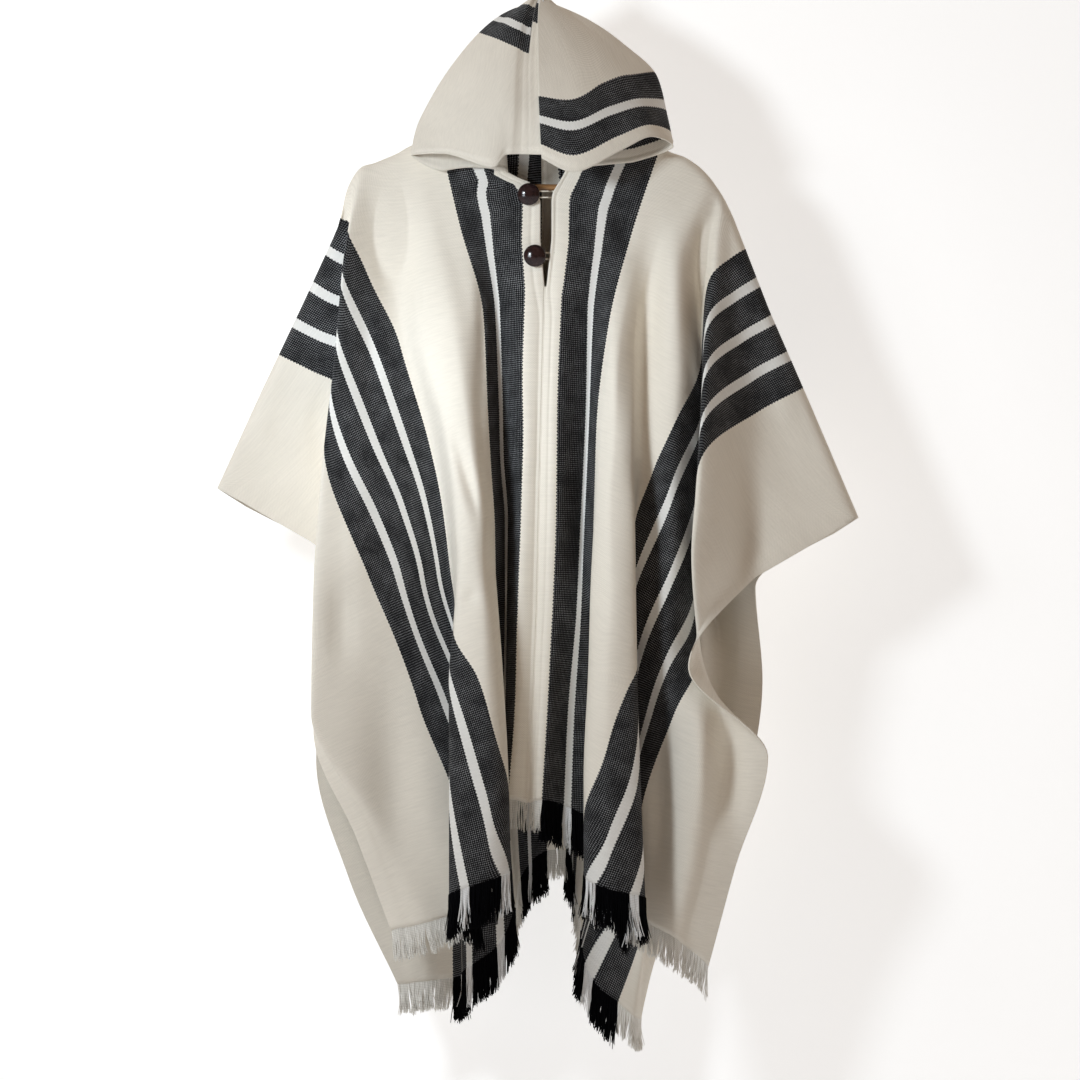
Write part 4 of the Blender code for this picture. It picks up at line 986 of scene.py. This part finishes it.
# ---- Buttons ----
# Two turned buttons of dark brown horn, shallow domes with a soft rim, each on a thread
# shank at the edge of the slit.
BUTTON_RADIUS = 14.5
SHANK = 3.0  # how far the thread shank holds the button off the cloth
SHANK_RADIUS = 2.4
BUTTON_PROFILE = ((0.0, 0.0), (0.60, 0.0), (0.90, 0.2), (0.985, 0.9), (1.0, 1.9), (0.985, 3.0),
                  (0.94, 4.0), (0.88, 4.7), (0.80, 5.6), (0.68, 6.7), (0.52, 7.7), (0.34, 8.5),
                  (0.16, 8.9), (0.0, 9.0))
SHANK_PROFILE = ((0.0, 0.0), (1.0, 0.1), (1.0, 1.4), (1.0, 2.7), (0.0, 2.8))


def turned(name, centre, profile, radius, look, around=56):
    """A profile of (share of radius, height) turned about the fore and aft line."""
    rings = np.array(profile, float)
    fine = smooth(np.arange(len(rings)), rings, np.linspace(0, len(rings) - 1, 66), 0.6)
    fine[:, 0] = np.maximum(fine[:, 0], 0.002)
    turn = np.arange(around) * 2 * math.pi / around
    points = np.stack([centre[0] + radius * fine[:, 0][:, None] * np.cos(turn)[None, :],
                       centre[1] - fine[:, 1][:, None] + 0 * turn[None, :],
                       centre[2] + radius * fine[:, 0][:, None] * np.sin(turn)[None, :]], axis=-1)
    quads = ring_quads(len(fine), around)
    place = np.stack(np.broadcast_arrays(turn[None, :], fine[:, 0][:, None]), axis=-1).reshape(-1, 2)
    return link(name, points.reshape(-1, 3) * MM, quads, place[quads], look)


def horn():
    """Dark brown polished horn with faint clouding and a fine noise bump."""
    paint, add, _, noise, _, finish = nodes_of("button_horn")
    place = add("ShaderNodeTexCoord").outputs["Object"]
    colour = ramp(add, noise(place, 120.0, 4.0),
                  [(0.35, (0.014, 0.007, 0.008, 1)), (0.62, (0.026, 0.012, 0.013, 1)),
                   (0.80, (0.05, 0.026, 0.026, 1))], "EASE")
    bump = add("ShaderNodeBump", {"Height": noise(place, 900.0, 2.0), "Strength": 0.05,
                                  "Distance": 0.0003})
    finish({"Base Color": colour, "Normal": bump.outputs[0], "Roughness": 0.15})
    return paint


horn_look = horn()
for place in ("top", "bottom"):
    low, high = [np.array(corner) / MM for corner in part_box("button_" + place)]
    centre = ((low[0] + high[0]) / 2, high[1] - SHANK, (low[2] + high[2]) / 2)
    piece = turned("button_" + place + "_dome", centre, BUTTON_PROFILE, BUTTON_RADIUS, horn_look)
    shank = turned("button_" + place + "_shank", (centre[0], high[1] - 0.1, centre[2]),
                   SHANK_PROFILE, SHANK_RADIUS, horn_look, 20)
    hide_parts("button_" + place)
    for made in (piece, shank):
        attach(made, "root")


# ---- Loops ----
# A thin twisted cord is sewn into the other edge of the slit for each button, and goes
# round its shank and back.
LOOP_REACH = 4.0  # radius of the bend round the shank
PLY = 0.72  # radius of one ply
PLY_OUT = 0.575  # how far a ply's middle lies from the cord's, in ply radii
PLY_SIDES = 6
TURN_POINTS = 6.0  # points of the path in one turn of the plies
# Near its root the cord dips behind the edge of the slit that it is sewn under: it is this
# deep behind once it is LOOP_RUN past the place across where the dip starts.
LOOP_DIP = 6.5
LOOP_RUN = 3.5
LOOP_DIPS = {"top": 9.5, "bottom": 5.5}


def loop_paint():
    """Cream cord of three plies; fine fibres show as noise."""
    paint, add, _, noise, _, finish = nodes_of("loop_cord")
    place = add("ShaderNodeTexCoord").outputs["Object"]
    colour = ramp(add, noise(place, 1400.0, 2.0),
                  [(0.3, (0.62, 0.55, 0.44, 1)), (0.7, (0.82, 0.77, 0.68, 1))], "LINEAR")
    finish({"Base Color": colour, "Roughness": 0.85})
    return paint


def corded(path, turns):
    """Three plies wound round a path: each is the path moved off by a turning radius."""
    heading = unit(np.gradient(path, axis=0))
    aside = unit(np.cross(heading, (0.0, 1.0, 0.0)))
    fore = np.cross(aside, heading)
    length = run_along(path)
    plies = []
    for ply in range(3):
        turn = 2 * math.pi * (turns * length / length[-1] + ply / 3)[:, None]
        plies.append(path + PLY_OUT * PLY * (np.cos(turn) * aside + np.sin(turn) * fore))
    return np.array(plies)


cord_look = loop_paint()
for place in ("top", "bottom"):
    low, high = [np.array(corner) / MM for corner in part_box("loop_" + place)]
    level = (low[2] + high[2]) / 2
    depth = (low[1] + high[1]) / 2
    middle = low[0] + LOOP_REACH + 1.1
    turn = np.linspace(math.pi / 2, 1.5 * math.pi, 40)
    bend = np.stack([middle + LOOP_REACH * np.cos(turn), 0 * turn + depth,
                     level + LOOP_REACH * np.sin(turn)], axis=-1)
    run = np.linspace(high[0] - 0.4, middle + 0.6, 60)
    under = depth + LOOP_DIP * np.clip((run - LOOP_DIPS[place]) / LOOP_RUN, 0, 1)
    upper, lower = (np.stack([run, under, 0 * run + level + reach], axis=-1)
                    for reach in (LOOP_REACH, -LOOP_REACH))
    path = np.concatenate([upper, bend, lower[::-1]])
    plies = corded(path, len(path) / TURN_POINTS)
    points, quads = tubes(plies, np.full(plies.shape[:2], PLY), PLY_SIDES)
    piece = link("loop_" + place + "_cord", points * MM, quads, np.zeros((len(quads), 4, 2)), cord_look)
    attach(piece, "root")
    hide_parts("loop_" + place)


# ---- Coat hanger ----
# Arms and trouser bar are varnished beech, and the hook is bright steel wire.  The solids
# have their real form, so they stay and only take their finish here.
def beech():
    """Varnished wood: long grain along the arms, with darker lines and a slight bump on the grain."""
    paint, add, _, noise, _, finish = nodes_of("varnished_beech")
    place = add("ShaderNodeTexCoord").outputs["Object"]
    stretched = add("ShaderNodeMapping", {0: place, 3: (6.0, 120.0, 120.0)}).outputs[0]
    grain = noise(stretched, 1.0, 5.0, Distortion=0.6)
    colour = ramp(add, grain, [(0.30, (0.25, 0.115, 0.04, 1)), (0.52, (0.46, 0.24, 0.10, 1)),
                               (0.72, (0.60, 0.35, 0.16, 1))], "LINEAR")
    bump = add("ShaderNodeBump", {"Height": grain, "Strength": 0.15, "Distance": 0.0004})
    finish({"Base Color": colour, "Normal": bump.outputs[0], "Roughness": 0.38, "Coat Weight": 0.3})
    return paint


def steel():
    """Bright drawn wire with faint scratches."""
    paint, add, _, noise, _, finish = nodes_of("hook_steel")
    scratch = noise(add("ShaderNodeTexCoord").outputs["Object"], 700.0, 3.0)
    rough = add("ShaderNodeMapRange", {0: scratch, 3: 0.18, 4: 0.34}).outputs[0]
    finish({"Base Color": (0.62, 0.62, 0.64, 1), "Metallic": 1.0, "Roughness": rough})
    return paint


wood = beech()
for node, look in (("hanger_arms", wood), ("hanger_bar", wood), ("hanger_hook", steel())):
    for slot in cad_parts[node].material_slots:
        slot.material = look
